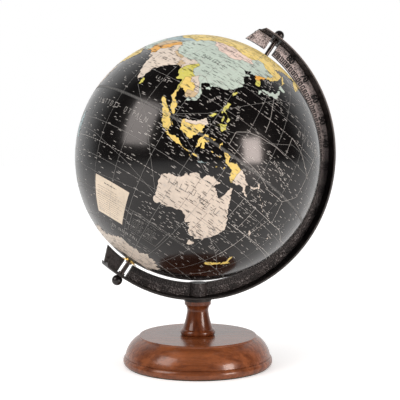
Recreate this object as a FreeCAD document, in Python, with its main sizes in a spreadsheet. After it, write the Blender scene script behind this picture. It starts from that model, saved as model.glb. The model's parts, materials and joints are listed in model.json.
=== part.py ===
import FreeCAD, Part
import os
import Sketcher

# Desktop globe on a stand.
# Frame: +Z up, origin at the centre of the base's underside, the arm lies in the
# XZ plane with its latitude scale on the +X side.
# Polar frame: origin at the globe's centre, +Z towards the pole, turned by the tilt.

os.makedirs("parts", exist_ok=True)
doc = FreeCAD.newDocument("desktop_globe")

# name, value, what it is (mm or degrees)
DRIVING = [
    ("globe_radius", 152.4, "map surface, a 12 inch globe"),
    ("post_height", 43.3, "wooden post between the base and the arm's pad"),
    ("axis_tilt", 35.0, "polar axis from the vertical"),
    ("arm_rise", 3.3, "arm's centre above the globe's; both lie on the polar axis"),
    ("paper_thick", 0.4, "printed gores and varnish"),
    ("shell_thick", 2.8, "chipboard hemisphere wall"),
    ("hoop_thick", 3.5, "joining hoop wall"),
    ("hoop_half", 12.0, "joining hoop half height"),
    ("tape_thick", 0.25, "equator tape over the seam"),
    ("tape_half", 2.0, "equator tape half width"),
    ("block_radius", 24.0, "wooden pole block"),
    ("block_deep", 18.4, "pole block's inner face below the map surface"),
    ("disc_radius", 26.0, "printed polar disc"),
    ("disc_thick", 0.3, "printed polar disc"),
    ("bush_out", 4.0, "brass pole bush, outer radius"),
    ("bush_head", 7.0, "brass pole bush, head radius"),
    ("bush_head_thick", 0.8, "brass pole bush, head"),
    ("pin_radius", 2.6, "steel pole pin"),
    ("run_fit", 0.08, "radial clearance of the pin in its bush"),
    ("thread_fit", 0.05, "radial clearance of a screwed pair"),
    ("clear_hole", 0.3, "radial clearance of a free hole"),
    ("pin_reach", 13.4, "pin's inner end below the map surface"),
    ("pin_stub", 7.0, "pin's outer end above the rim"),
    ("collar_radius", 4.2, "pin's clamping collar"),
    ("collar_thick", 2.6, "pin's clamping collar"),
    ("cup_radius", 10.4, "brass cup washer rim"),
    ("cup_flat", 5.6, "brass cup washer, flat middle"),
    ("cup_thick", 0.6, "brass cup washer sheet"),
    ("cup_rise", 0.8, "brass cup washer rim above its middle"),
    ("hub_radius", 4.2, "spacer sleeve on the pin"),
    ("hub_length", 2.6, "spacer sleeve on the pin"),
    ("hub_gap", 0.1, "end play between the sleeve and the cup washer"),
    ("ball_radius", 6.5, "ball nut"),
    ("ball_lift", 5.5, "ball nut's centre above the rim of the arm"),
    ("web_gap", 7.2, "arm's inner radius less the ball's"),
    ("web_depth", 17.2, "arm's inner edge to the inside of its rim"),
    ("web_half", 2.0, "half the arm's web thickness"),
    ("rim_thick", 3.2, "thickness of the arm's rim"),
    ("rim_half", 16.5, "half the rim's width"),
    ("web_end", 102.5, "web's end, degrees of latitude"),
    ("rim_end", 98.5, "rim's end, degrees of latitude"),
    ("notch_half", 6.5, "half the notch that each pin stands in"),
    ("boss_radius", 11.3, "boss on the web above the post"),
    ("pad_radius", 17.2, "cast pad under the rim"),
    ("pad_thick", 2.5, "cast pad under the rim"),
    ("pad_sink", 1.4, "how far the pad runs into the rim"),
    ("edge_break", 0.7, "broken edges of the rim"),
    ("rod_radius", 4.0, "tie rod"),
    ("rod_low", 3.6, "tie rod's lower end"),
    ("rod_short", 1.5, "tie rod's upper end short of the bore's end"),
    ("boss_cap", 4.0, "metal left over the tapped bore in the boss"),
    ("felt_thick", 1.5, "felt under the base"),
    ("felt_in", 1.7, "felt's edge inside the base's foot"),
    ("foot_radius", 92.2, "radius of the base's foot"),
    ("base_top", 37.5, "top face of the base"),
    ("flat_in", 18.6, "edge of the top face, inside the foot's radius"),
    ("step_in", 17.8, "small step, inside the foot's radius"),
    ("step_deep", 2.1, "foot of the small step, below the top face"),
    ("step_chamfer", 0.9, "top of the small step, below the top face"),
    ("ovolo_top_in", 16.6, "upper end of the quarter round, inside the foot's radius"),
    ("ovolo_top_deep", 2.7, "upper end of the quarter round, below the top face"),
    ("ovolo_low_in", 0.8, "lower end of the quarter round, inside the foot's radius"),
    ("ovolo_low_z", 12.2, "lower end of the quarter round"),
    ("ovolo_round", 31.5, "radius of the quarter round"),
    ("groove_in", 1.4, "bottom of the groove, inside the foot's radius"),
    ("groove_z", 11.6, "bottom of the groove"),
    ("bead_top", 11.0, "top of the lower bead"),
    ("bead_round", 6.7, "radius of the lower bead"),
    ("recess_radius", 17.0, "recess for the nut"),
    ("recess_top", 13.5, "ceiling of the recess"),
    ("nut_flat", 13.0, "nut across flats"),
    ("nut_high", 6.5, "nut height"),
    ("washer_radius", 13.0, "washer"),
    ("washer_thick", 1.6, "washer"),
    ("foot_r", 20.2, "post's foot bead"),
    ("foot_high", 7.4, "post's foot bead"),
    ("foot_round", 4.6, "post's foot bead"),
    ("flare_r", 19.2, "lower end of the flare"),
    ("flare_low", 8.0, "lower end of the flare above the base"),
    ("waist_r", 13.4, "post's waist"),
    ("cove_high", 8.0, "height of the cove over the waist"),
    ("flare_round", 90.0, "hollow of the flare"),
    ("cove_r", 15.9, "upper end of the cove"),
    ("cove_round", 14.1, "cove under the top ring"),
    ("ring_r", 16.7, "post's top ring"),
    ("ring_high", 4.6, "post's top ring"),
]

# name, formula in the names above
DERIVED = [
    ("web_inner", "=globe_radius + web_gap"),
    ("rim_inner", "=web_inner + web_depth"),
    ("rim_outer", "=rim_inner + rim_thick"),
    ("arm_height", "=base_top + post_height + pad_thick + rim_outer"),
    ("arm_shift", "=arm_rise * tan(axis_tilt * 1 deg)"),
    ("axis_height", "=arm_height - arm_rise"),
    ("block_floor", "=globe_radius - block_deep"),
    ("pin_tip", "=globe_radius - pin_reach"),
    ("pin_head", "=rim_outer + pin_stub"),
    ("bore_high", "=arm_height - web_inner - boss_cap"),
    ("rod_high", "=bore_high - rod_short"),
    ("felt_radius", "=foot_radius - felt_in"),
    ("base_flat", "=foot_radius - flat_in"),
    ("base_step", "=foot_radius - step_in"),
    ("step_low", "=base_top - step_deep"),
    ("step_high", "=base_top - step_chamfer"),
    ("ovolo_top_r", "=foot_radius - ovolo_top_in"),
    ("ovolo_top_z", "=base_top - ovolo_top_deep"),
    ("ovolo_low_r", "=foot_radius - ovolo_low_in"),
    ("groove_r", "=foot_radius - groove_in"),
    ("skin_inner", "=globe_radius - paper_thick"),
    ("shell_inner", "=skin_inner - shell_thick"),
    ("hoop_inner", "=shell_inner - hoop_thick"),
    ("hoop_edge", "=sqrt(shell_inner ^ 2 - hoop_half ^ 2)"),
    ("tape_outer", "=globe_radius + tape_thick"),
    ("bush_bore", "=pin_radius + run_fit"),
    ("free_bore", "=pin_radius + clear_hole"),
    ("screw_bore", "=pin_radius + thread_fit"),
    ("block_bore", "=bush_out + thread_fit"),
    ("shell_bore", "=bush_out + clear_hole"),
    ("shell_bore_out", "=sqrt(skin_inner ^ 2 - shell_bore ^ 2)"),
    ("shell_bore_in", "=sqrt(shell_inner ^ 2 - shell_bore ^ 2)"),
    ("skin_bore_out", "=sqrt(globe_radius ^ 2 - shell_bore ^ 2)"),
    ("block_bore_z", "=sqrt(shell_inner ^ 2 - block_bore ^ 2)"),
    ("block_edge_z", "=sqrt(shell_inner ^ 2 - block_radius ^ 2)"),
    ("disc_outer", "=globe_radius + disc_thick"),
    ("disc_out_bore_z", "=sqrt(disc_outer ^ 2 - shell_bore ^ 2)"),
    ("disc_in_edge_z", "=sqrt(globe_radius ^ 2 - disc_radius ^ 2)"),
    ("disc_out_edge_z", "=sqrt(disc_outer ^ 2 - disc_radius ^ 2)"),
    ("head_high", "=disc_outer + bush_head_thick"),
    ("cup_mid_high", "=head_high + cup_thick"),
    ("cup_rim_low", "=head_high + cup_rise"),
    ("cup_rim_high", "=cup_rim_low + cup_thick"),
    ("cup_neck", "=cup_flat - cup_thick * 0.4"),
    ("cup_lip", "=cup_radius - cup_thick"),
    ("hub_low", "=cup_mid_high + hub_gap"),
    ("hub_high", "=hub_low + hub_length"),
    ("collar_low", "=rim_inner - collar_thick"),
    ("collar_high", "=sqrt(rim_inner ^ 2 - collar_radius ^ 2)"),
    ("ball_centre", "=rim_outer + ball_lift"),
    ("ball_top", "=ball_centre + ball_radius"),
    ("ball_foot", "=sqrt(ball_radius ^ 2 - ball_lift ^ 2)"),
    ("ball_bore_high", "=pin_head + clear_hole"),
    ("rim_mid", "=(rim_inner + rim_outer) / 2"),
    ("web_end_x", "=web_inner * cos(web_end * 1 deg)"),
    ("web_end_y", "=web_inner * sin(web_end * 1 deg)"),
    ("web_cap_x", "=rim_mid * cos(rim_end * 1 deg)"),
    ("web_cap_y", "=rim_mid * sin(rim_end * 1 deg)"),
    ("notch_floor", "=(rim_inner + rim_mid) / 2"),
    ("notch_lip", "=sqrt(web_inner ^ 2 - notch_half ^ 2)"),
    ("rim_in_x", "=rim_inner * cos(rim_end * 1 deg)"),
    ("rim_in_y", "=rim_inner * sin(rim_end * 1 deg)"),
    ("rim_out_x", "=rim_outer * cos((rim_end - 1) * 1 deg)"),
    ("rim_out_y", "=rim_outer * sin((rim_end - 1) * 1 deg)"),
    ("rim_width", "=2 * rim_half"),
    ("web_width", "=2 * web_half"),
    ("axis_turn", "=-axis_tilt"),
    ("hole_low", "=rim_inner - 2"),
    ("hole_high", "=rim_outer + 2"),
    ("boss_long", "=rim_mid - web_inner"),
    ("seat_low", "=rim_outer + pad_thick"),
    ("seat_long", "=pad_thick + pad_sink"),
    ("bore_mouth", "=seat_low + 1"),
    ("bore_end", "=arm_height - bore_high"),
    ("pad_low", "=arm_height - rim_outer - pad_thick"),
    ("rod_bore", "=rod_radius + thread_fit"),
    ("rod_hole", "=rod_radius + clear_hole + 0.1"),
    ("nut_low", "=recess_top - washer_thick - nut_high"),
    ("nut_top", "=recess_top - washer_thick"),
    ("nut_corner", "=nut_flat / sqrt(3)"),
    ("nut_corner_half", "=nut_corner / 2"),
    ("nut_flat_half", "=nut_flat / 2"),
    ("foot_top", "=base_top + foot_high"),
    ("flare_z", "=base_top + flare_low"),
    ("ring_low", "=pad_low - ring_high"),
    ("waist_z", "=ring_low - cove_high"),
]


def build_sheet():
    sheet = doc.addObject("Spreadsheet::Sheet", "Sizes")
    for row, (name, value, meaning) in enumerate(DRIVING, 1):
        sheet.set(f"A{row}", meaning)
        sheet.set(f"B{row}", str(value))
        sheet.setAlias(f"B{row}", name)
    for row, (name, formula) in enumerate(DERIVED, len(DRIVING) + 1):
        sheet.set(f"A{row}", "worked out")
        sheet.set(f"B{row}", formula)
        sheet.setAlias(f"B{row}", name)
    doc.recompute()
    return sheet


sizes = build_sheet()


def value_of(term):
    """The number behind a size's name; a leading minus turns it round, "0" is zero."""
    if term == "0":
        return 0.0
    if term.startswith("-"):
        return -float(getattr(sizes, term[1:]))
    return float(getattr(sizes, term))


def bind(target, slot, term):
    """Ties a property or a sketch constraint to a size in the sheet."""
    sign = "-" if term.startswith("-") else ""
    target.setExpression(slot, f"{sign}Sizes.{term.lstrip('-')}")


def body_of(name):
    body = doc.addObject("PartDesign::Body", name)
    body.Label = name
    return body


def origin_plane(body, role):
    return next(item for item in body.Origin.OriginFeatures if item.Role == role)


def sketch_on(body, name, role, lift=None, turn=None, shift=None):
    """A sketch on one of the body's own planes, lifted, turned and shifted by named sizes."""
    sketch = body.newObject("Sketcher::SketchObject", f"{body.Name}_{name}")
    sketch.AttachmentSupport = [(origin_plane(body, role), "")]
    sketch.MapMode = "FlatFace"
    if turn:
        angle = value_of(turn)
        spin = FreeCAD.Rotation(FreeCAD.Vector(0, 0, 1), angle)
        sketch.AttachmentOffset = FreeCAD.Placement(FreeCAD.Vector(0, 0, 0), spin)
        bind(sketch, ".AttachmentOffset.Rotation.Angle", turn)
    if lift:
        bind(sketch, ".AttachmentOffset.Base.z", lift)
    if shift:
        bind(sketch, ".AttachmentOffset.Base.x", shift)
    return sketch


def lock(sketch, geometry, end, terms):
    """Holds one end of a line or arc at two named coordinates."""
    for kind, term in zip(("DistanceX", "DistanceY"), terms):
        number = value_of(term)
        index = sketch.addConstraint(Sketcher.Constraint(kind, geometry, end, number))
        if term != "0":
            bind(sketch, f"Constraints[{index}]", term)


def arc_between(start, end, radius, bulge):
    """The arc from start to end. It bulges to the left of its way for +1 and to the
    right for -1; 2 or -2 is the long way round."""
    chord = end - start
    half = chord.Length / 2
    depth = max(radius ** 2 - half ** 2, 0.0) ** 0.5
    side = FreeCAD.Vector(-chord.y, chord.x, 0)
    side.normalize()
    if bulge < 0:
        side = side * -1
    if abs(bulge) == 1:
        depth = -depth
    centre = (start + end) * 0.5 + side * depth
    return Part.Arc(start, centre + side * radius, end)


def outline(sketch, corners):
    """A closed outline. Each corner is (x, y) for a line to the next corner, or
    (x, y, radius, bulge) for an arc to it."""
    points = [FreeCAD.Vector(value_of(c[0]), value_of(c[1]), 0) for c in corners]
    ends = []
    for index, corner in enumerate(corners):
        start = points[index]
        end = points[(index + 1) % len(points)]
        if len(corner) == 2:
            sketch.addGeometry(Part.LineSegment(start, end), False)
            ends.append((1, 2))
            continue
        curve = arc_between(start, end, value_of(corner[2]), corner[3])
        sketch.addGeometry(curve, False)
        drawn = sketch.getPoint(index, 1)
        ends.append((1, 2) if (drawn - start).Length < 1e-6 else (2, 1))
    for index, corner in enumerate(corners):
        following = (index + 1) % len(corners)
        pair = (index, ends[index][1], following, ends[following][0])
        sketch.addConstraint(Sketcher.Constraint("Coincident", *pair))
        lock(sketch, index, ends[index][0], corner[:2])
        if len(corner) == 4:
            radius = value_of(corner[2])
            number = sketch.addConstraint(Sketcher.Constraint("Radius", index, radius))
            bind(sketch, f"Constraints[{number}]", corner[2])
    return sketch


def ring(sketch, radius_name):
    """A circle about the sketch's origin."""
    circle = Part.Circle(FreeCAD.Vector(0, 0, 0), FreeCAD.Vector(0, 0, 1), value_of(radius_name))
    index = sketch.addGeometry(circle, False)
    sketch.addConstraint(Sketcher.Constraint("Coincident", index, 3, -1, 1))
    number = sketch.addConstraint(Sketcher.Constraint("Radius", index, value_of(radius_name)))
    bind(sketch, f"Constraints[{number}]", radius_name)
    return sketch


def revolve(body, name, corners, kind="PartDesign::Revolution", turn=None, shift=None):
    """Turns an outline in (radius, height) about the sketch's upright axis."""
    sketch = outline(sketch_on(body, f"{name}_outline", "XZ_Plane", turn=turn, shift=shift), corners)
    feature = body.newObject(kind, f"{body.Name}_{name}")
    feature.Profile = sketch
    feature.ReferenceAxis = (sketch, ["V_Axis"])
    feature.Angle = 360
    return feature


def pad(body, name, sketch, length_name, both_ways=False):
    feature = body.newObject("PartDesign::Pad", f"{body.Name}_{name}")
    feature.Profile = sketch
    feature.Length = value_of(length_name)
    bind(feature, "Length", length_name)
    feature.Midplane = both_ways
    return feature


def turned(name, corners):
    """A piece turned about the stand's upright axis."""
    body = body_of(name)
    revolve(body, "turning", corners)
    return body


def stand_at(body, across, height):
    """Puts a piece at a place over the stand's axis."""
    body.Placement.Base = FreeCAD.Vector(value_of(across), 0, value_of(height))
    bind(body, ".Placement.Base.x", across)
    bind(body, ".Placement.Base.z", height)


def stand_on_axis(body, half_turn, in_arm):
    """Puts a piece drawn in the polar frame at the globe's centre, or at the arm's."""
    angle = value_of("axis_tilt") + half_turn
    spin = FreeCAD.Rotation(FreeCAD.Vector(0, 1, 0), angle)
    body.Placement = FreeCAD.Placement(FreeCAD.Vector(0, 0, value_of("axis_height")), spin)
    if in_arm:
        stand_at(body, "arm_shift", "arm_height")
    else:
        bind(body, ".Placement.Base.z", "axis_height")
    body.setExpression(".Placement.Rotation.Angle", f"Sizes.axis_tilt + {half_turn}")
    return body


def polar(name, corners, south=False, in_arm=False):
    """A piece turned about the polar axis; south turns it to the other pole."""
    return stand_on_axis(turned(name, corners), 180 if south else 0, in_arm)


def poles(stem, corners, in_arm=False):
    """The same piece at both poles."""
    polar(f"north_{stem}", corners, in_arm=in_arm)
    polar(f"south_{stem}", corners, south=True, in_arm=in_arm)


def build_base():
    turned("felt_pad", [("0", "0"), ("felt_radius", "0"), ("felt_radius", "felt_thick"), ("0", "felt_thick")])
    turned("wood_base", [
        ("rod_hole", "recess_top"),
        ("recess_radius", "recess_top"),
        ("recess_radius", "felt_thick"),
        ("foot_radius", "felt_thick", "bead_round", -1),
        ("foot_radius", "bead_top"),
        ("groove_r", "groove_z"),
        ("ovolo_low_r", "ovolo_low_z", "ovolo_round", -1),
        ("ovolo_top_r", "ovolo_top_z"),
        ("base_step", "step_low"),
        ("base_step", "step_high"),
        ("base_flat", "base_top"),
        ("rod_hole", "base_top"),
    ])


def build_post():
    turned("wood_post", [
        ("rod_hole", "base_top"),
        ("foot_r", "base_top", "foot_round", -1),
        ("foot_r", "foot_top"),
        ("flare_r", "flare_z", "flare_round", 1),
        ("waist_r", "waist_z", "cove_round", 1),
        ("cove_r", "ring_low"),
        ("ring_r", "ring_low"),
        ("ring_r", "pad_low"),
        ("rod_hole", "pad_low"),
    ])


def build_fastening():
    turned("tie_rod", [("0", "rod_low"), ("rod_radius", "rod_low"), ("rod_radius", "rod_high"), ("0", "rod_high")])
    turned("clamp_washer", [
        ("rod_hole", "nut_top"),
        ("washer_radius", "nut_top"),
        ("washer_radius", "recess_top"),
        ("rod_hole", "recess_top"),
    ])
    nut = body_of("clamp_nut")
    hexagon = outline(sketch_on(nut, "hexagon", "XY_Plane", lift="nut_low"), [
        ("nut_corner", "0"),
        ("nut_corner_half", "nut_flat_half"),
        ("-nut_corner_half", "nut_flat_half"),
        ("-nut_corner", "0"),
        ("-nut_corner_half", "-nut_flat_half"),
        ("nut_corner_half", "-nut_flat_half"),
    ])
    pad(nut, "block", ring(hexagon, "rod_bore"), "nut_high")


def build_arm():
    """The cast half meridian: web, rim, boss over the post and pad under the rim."""
    arm = body_of("meridian_arm")
    web = outline(sketch_on(arm, "web_outline", "XZ_Plane", turn="axis_turn"), [
        ("web_end_x", "web_end_y", "web_inner", 1),
        ("-notch_half", "notch_lip"),
        ("-notch_half", "notch_floor"),
        ("notch_half", "notch_floor"),
        ("notch_half", "notch_lip", "web_inner", 1),
        ("notch_half", "-notch_lip"),
        ("notch_half", "-notch_floor"),
        ("-notch_half", "-notch_floor"),
        ("-notch_half", "-notch_lip", "web_inner", 1),
        ("web_end_x", "-web_end_y"),
        ("web_cap_x", "-web_cap_y", "rim_mid", -2),
        ("web_cap_x", "web_cap_y"),
    ])
    pad(arm, "web", web, "web_width", both_ways=True)
    rim = outline(sketch_on(arm, "rim_outline", "XZ_Plane", turn="axis_turn"), [
        ("rim_in_x", "rim_in_y", "rim_inner", 2),
        ("rim_in_x", "-rim_in_y"),
        ("rim_out_x", "-rim_out_y", "rim_outer", -2),
        ("rim_out_x", "rim_out_y"),
    ])
    pad(arm, "rim", rim, "rim_width", both_ways=True)
    soften(arm, "rim_edges", "edge_break", is_rim_edge)
    boss = ring(sketch_on(arm, "boss_outline", "XY_Plane", lift="-rim_mid", shift="-arm_shift"), "boss_radius")
    pad(arm, "boss", boss, "boss_long")
    seat = ring(sketch_on(arm, "seat_outline", "XY_Plane", lift="-seat_low", shift="-arm_shift"), "pad_radius")
    pad(arm, "seat", seat, "seat_long")
    cut(arm, "rod_bore", [
        ("0", "-bore_mouth"),
        ("rod_bore", "-bore_mouth"),
        ("rod_bore", "-bore_end"),
        ("0", "-bore_end"),
    ], shift="-arm_shift")
    for name, low, high in (("north_hole", "hole_low", "hole_high"), ("south_hole", "-hole_high", "-hole_low")):
        corners = [("0", low), ("free_bore", low), ("free_bore", high), ("0", high)]
        cut(arm, name, corners, turn="axis_turn")
    stand_at(arm, "arm_shift", "arm_height")


def is_rim_edge(edge):
    """The four long edges of the rim."""
    curve = edge.Curve
    if not isinstance(curve, Part.Circle) or abs(curve.Axis.y) < 0.99:
        return False
    on_side = abs(abs(curve.Center.y) - value_of("rim_half")) < 0.01
    near = min(abs(curve.Radius - value_of(name)) for name in ("rim_inner", "rim_outer"))
    return on_side and near < 0.01


def cut(body, name, corners, turn=None, shift=None):
    """A turned cut, which must take something away."""
    doc.recompute()
    before = body.Shape.Volume
    revolve(body, name, corners, kind="PartDesign::Groove", turn=turn, shift=shift)
    doc.recompute()
    if body.Shape.Volume > before - 1:
        raise RuntimeError(f"{body.Name}: {name} cuts nothing")


def soften(body, name, size_name, wanted):
    """Breaks the edges that the test picks."""
    doc.recompute()
    edges = [f"Edge{i}" for i, edge in enumerate(body.Shape.Edges, 1) if wanted(edge)]
    last = body.Tip
    feature = body.newObject("PartDesign::Chamfer", f"{body.Name}_{name}")
    feature.Base = (last, edges)
    feature.Size = value_of(size_name)
    bind(feature, "Size", size_name)
    body.Tip = feature


def build_pivots():
    """Pins, sleeves and ball nuts: they stand still in the arm."""
    poles("pin", [
        ("0", "pin_tip"),
        ("pin_radius", "pin_tip"),
        ("pin_radius", "collar_low"),
        ("collar_radius", "collar_low"),
        ("collar_radius", "collar_high"),
        ("pin_radius", "collar_high"),
        ("pin_radius", "pin_head"),
        ("0", "pin_head"),
    ], in_arm=True)
    poles("spacer", [
        ("screw_bore", "hub_low"),
        ("hub_radius", "hub_low"),
        ("hub_radius", "hub_high"),
        ("screw_bore", "hub_high"),
    ])
    poles("ball_nut", [
        ("screw_bore", "rim_outer"),
        ("ball_foot", "rim_outer", "ball_radius", -1),
        ("0", "ball_top"),
        ("0", "ball_bore_high"),
        ("screw_bore", "ball_bore_high"),
    ], in_arm=True)


def build_globe():
    """The hollow ball and everything that turns with it."""
    poles("hemisphere", [
        ("shell_inner", "0"),
        ("skin_inner", "0", "skin_inner", -1),
        ("shell_bore", "shell_bore_out"),
        ("shell_bore", "shell_bore_in", "shell_inner", 1),
    ])
    poles("map_skin", [
        ("skin_inner", "0"),
        ("globe_radius", "0", "globe_radius", -1),
        ("shell_bore", "skin_bore_out"),
        ("shell_bore", "shell_bore_out", "skin_inner", 1),
    ])
    poles("polar_disc", [
        ("shell_bore", "skin_bore_out", "globe_radius", 1),
        ("disc_radius", "disc_in_edge_z"),
        ("disc_radius", "disc_out_edge_z", "disc_outer", -1),
        ("shell_bore", "disc_out_bore_z"),
    ])
    poles("block", [
        ("block_bore", "block_floor"),
        ("block_radius", "block_floor"),
        ("block_radius", "block_edge_z", "shell_inner", -1),
        ("block_bore", "block_bore_z"),
    ])
    poles("bush", [
        ("bush_bore", "block_floor"),
        ("bush_out", "block_floor"),
        ("bush_out", "disc_outer"),
        ("bush_head", "disc_outer"),
        ("bush_head", "head_high"),
        ("bush_bore", "head_high"),
    ])
    poles("cup_washer", [
        ("free_bore", "head_high"),
        ("cup_flat", "head_high"),
        ("cup_radius", "cup_rim_low"),
        ("cup_radius", "cup_rim_high"),
        ("cup_lip", "cup_rim_high"),
        ("cup_neck", "cup_mid_high"),
        ("free_bore", "cup_mid_high"),
    ])
    polar("equator_hoop", [
        ("hoop_inner", "-hoop_half"),
        ("hoop_edge", "-hoop_half", "shell_inner", -1),
        ("hoop_edge", "hoop_half"),
        ("hoop_inner", "hoop_half"),
    ])
    polar("equator_tape", [
        ("globe_radius", "-tape_half"),
        ("tape_outer", "-tape_half"),
        ("tape_outer", "tape_half"),
        ("globe_radius", "tape_half"),
    ])


def check_and_write():
    """Every object sound and every solid closed, then one file a piece."""
    doc.recompute()
    for item in doc.Objects:
        bad = [word for word in item.State if word in ("Invalid", "Error")]
        if bad:
            raise RuntimeError(f"{item.Name}: {bad}")
    for body in doc.findObjects("PartDesign::Body"):
        shape = body.Shape
        if shape.isNull() or not shape.isValid() or len(shape.Solids) != 1:
            raise RuntimeError(f"{body.Name}: not one sound solid")
        shape.exportStep(os.path.join("parts", f"{body.Label}.step"))
        print(f"{body.Label} {shape.Volume:.1f} mm3")


build_base()
build_post()
build_fastening()
build_arm()
build_pivots()
build_globe()
check_and_write()
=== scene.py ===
import json
import math
import random

import bpy
from mathutils import Matrix, Vector
from mathutils.geometry import delaunay_2d_cdt


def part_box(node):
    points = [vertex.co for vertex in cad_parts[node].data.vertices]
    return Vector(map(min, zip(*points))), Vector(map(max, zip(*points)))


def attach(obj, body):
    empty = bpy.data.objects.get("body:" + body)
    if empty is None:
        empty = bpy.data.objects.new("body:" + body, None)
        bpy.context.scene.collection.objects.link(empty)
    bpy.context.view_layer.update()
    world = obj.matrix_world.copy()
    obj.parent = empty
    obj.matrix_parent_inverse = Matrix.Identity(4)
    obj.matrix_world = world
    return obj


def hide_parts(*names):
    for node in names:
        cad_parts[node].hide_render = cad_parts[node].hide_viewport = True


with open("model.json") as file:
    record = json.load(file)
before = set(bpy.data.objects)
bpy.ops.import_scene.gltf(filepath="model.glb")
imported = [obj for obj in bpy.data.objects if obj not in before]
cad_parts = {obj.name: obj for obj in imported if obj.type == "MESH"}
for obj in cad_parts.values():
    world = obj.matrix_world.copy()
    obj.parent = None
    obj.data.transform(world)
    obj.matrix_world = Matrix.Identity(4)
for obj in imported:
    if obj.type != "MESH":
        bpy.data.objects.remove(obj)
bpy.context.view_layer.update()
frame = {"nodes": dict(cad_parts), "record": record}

MM = 0.001
spin = frame["record"]["behaviour"]["joints"][0]
CENTRE = Vector(spin["pos_m"])
POLE = Vector(spin["axis"]).normalized()
BALL = 152.4 * MM
ZERO_TURN = math.radians(228.6)   # which way the map's zero meridian faces at rest
LEAN = Vector((POLE.z, 0, -POLE.x))
SIDE = Vector((0, 1, 0))


def axes(first, second, third, place):
    m = Matrix((first, second, third)).transposed().to_4x4()
    m.translation = place
    return m


east_zero = LEAN * math.cos(-ZERO_TURN) + SIDE * math.sin(-ZERO_TURN)
east_quarter = POLE.cross(east_zero)
GLOBE = axes(east_zero, east_quarter, POLE, CENTRE)

# The arm is concentric with its two ball nuts, a little above the globe's centre.
HUB = sum((corner for nut in ("north_ball_nut", "south_ball_nut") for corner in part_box(nut)), Vector()) / 4
ARM_RISE = (HUB - CENTRE).dot(POLE)
WEB_IN, RIM_IN, RIM_OUT = 159.6 * MM, 176.8 * MM, 180.0 * MM


# ---- node helpers ---------------------------------------------------------


def put(tree, kind, feeds=None, **settings):
    node = tree.nodes.new(kind)
    for key, value in settings.items():
        setattr(node, key, value)
    for key, value in (feeds or {}).items():
        if isinstance(value, bpy.types.NodeSocket):
            tree.links.new(value, node.inputs[key])
        else:
            node.inputs[key].default_value = value
    return node


class Tree:
    """A node tree with short ways to add arithmetic."""

    def __init__(self, tree):
        self.tree = tree

    def put(self, kind, feeds=None, **settings):
        return put(self.tree, kind, feeds, **settings)

    def math(self, operation, *values, clamp=False):
        return self.put("ShaderNodeMath", dict(enumerate(values)), operation=operation, use_clamp=clamp).outputs[0]

    def vector(self, operation, *values):
        node = self.put("ShaderNodeVectorMath", dict(enumerate(values)), operation=operation)
        return node.outputs["Value" if operation in ("LENGTH", "DOT_PRODUCT") else "Vector"]

    def blend(self, factor, a, b, kind="MIX"):
        node = self.put("ShaderNodeMix", {0: factor, 6: a, 7: b}, data_type="RGBA", blend_type=kind)
        return node.outputs[2]

    def span(self, value, low, high, to_low=0.0, to_high=1.0, smooth=False):
        feeds = {0: value, 1: low, 2: high, 3: to_low, 4: to_high}
        kind = "SMOOTHSTEP" if smooth else "LINEAR"
        return self.put("ShaderNodeMapRange", feeds, interpolation_type=kind).outputs[0]


def group_of(name, kind, ins, outs):
    tree = bpy.data.node_groups.new(name, kind)
    for title, socket, value in ins:
        made = tree.interface.new_socket(title, in_out="INPUT", socket_type=socket)
        if value is not None:
            made.default_value = value
    for title, socket in outs:
        tree.interface.new_socket(title, in_out="OUTPUT", socket_type=socket)
    return Tree(tree), put(tree, "NodeGroupInput").outputs, put(tree, "NodeGroupOutput").inputs


FLOAT, COLOUR, VECTOR = "NodeSocketFloat", "NodeSocketColor", "NodeSocketVector"
SHADER, GEOMETRY = "ShaderNodeTree", "GeometryNodeTree"


# ---- shared shader effects ------------------------------------------------


def make_mottle():
    """Slow and fine colour variation of one base colour."""
    t, given, out = group_of("mottle", SHADER,
        [("Colour", COLOUR, (1, 1, 1, 1)), ("Scale", FLOAT, 40.0), ("Contrast", FLOAT, 0.2)],
        [("Colour", COLOUR), ("Value", FLOAT)])
    place = t.put("ShaderNodeTexCoord").outputs["Object"]
    slow = t.put("ShaderNodeTexNoise", {"Vector": place, "Scale": given["Scale"], "Detail": 5.0, "Roughness": 0.6})
    fast = t.put("ShaderNodeTexNoise",
                 {"Vector": place, "Scale": t.math("MULTIPLY", given["Scale"], 17.0), "Detail": 2.0})
    mixed = t.math("ADD", t.math("MULTIPLY", slow.outputs[0], 0.65), t.math("MULTIPLY", fast.outputs[0], 0.35))
    swing = t.math("MULTIPLY", t.math("SUBTRACT", mixed, 0.5), t.math("MULTIPLY", given["Contrast"], 4.0))
    gain = t.math("ADD", 1.0, swing)
    shade = t.put("ShaderNodeCombineColor", {0: gain, 1: gain, 2: gain})
    t.tree.links.new(t.blend(1.0, given["Colour"], shade.outputs[0], "MULTIPLY"), out["Colour"])
    t.tree.links.new(mixed, out["Value"])
    return t.tree


def make_edge_wear():
    """White along the outer edges, broken up so that it looks worn."""
    t, given, out = group_of("edge_wear", SHADER,
        [("Width", FLOAT, 0.001), ("Strength", FLOAT, 3.0), ("Breakup", FLOAT, 120.0)], [("Mask", FLOAT)])
    round_normal = t.put("ShaderNodeBevel", {"Radius": given["Width"]}, samples=4).outputs[0]
    flat_normal = t.put("ShaderNodeNewGeometry").outputs["Normal"]
    turn = t.math("SUBTRACT", 1.0, t.vector("DOT_PRODUCT", round_normal, flat_normal))
    place = t.put("ShaderNodeTexCoord").outputs["Object"]
    patch = t.put("ShaderNodeTexNoise", {"Vector": place, "Scale": given["Breakup"], "Detail": 4.0}).outputs[0]
    edge = t.math("MULTIPLY", turn, given["Strength"])
    t.tree.links.new(t.math("MULTIPLY", edge, t.span(patch, 0.3, 0.6), clamp=True), out["Mask"])
    return t.tree


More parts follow.
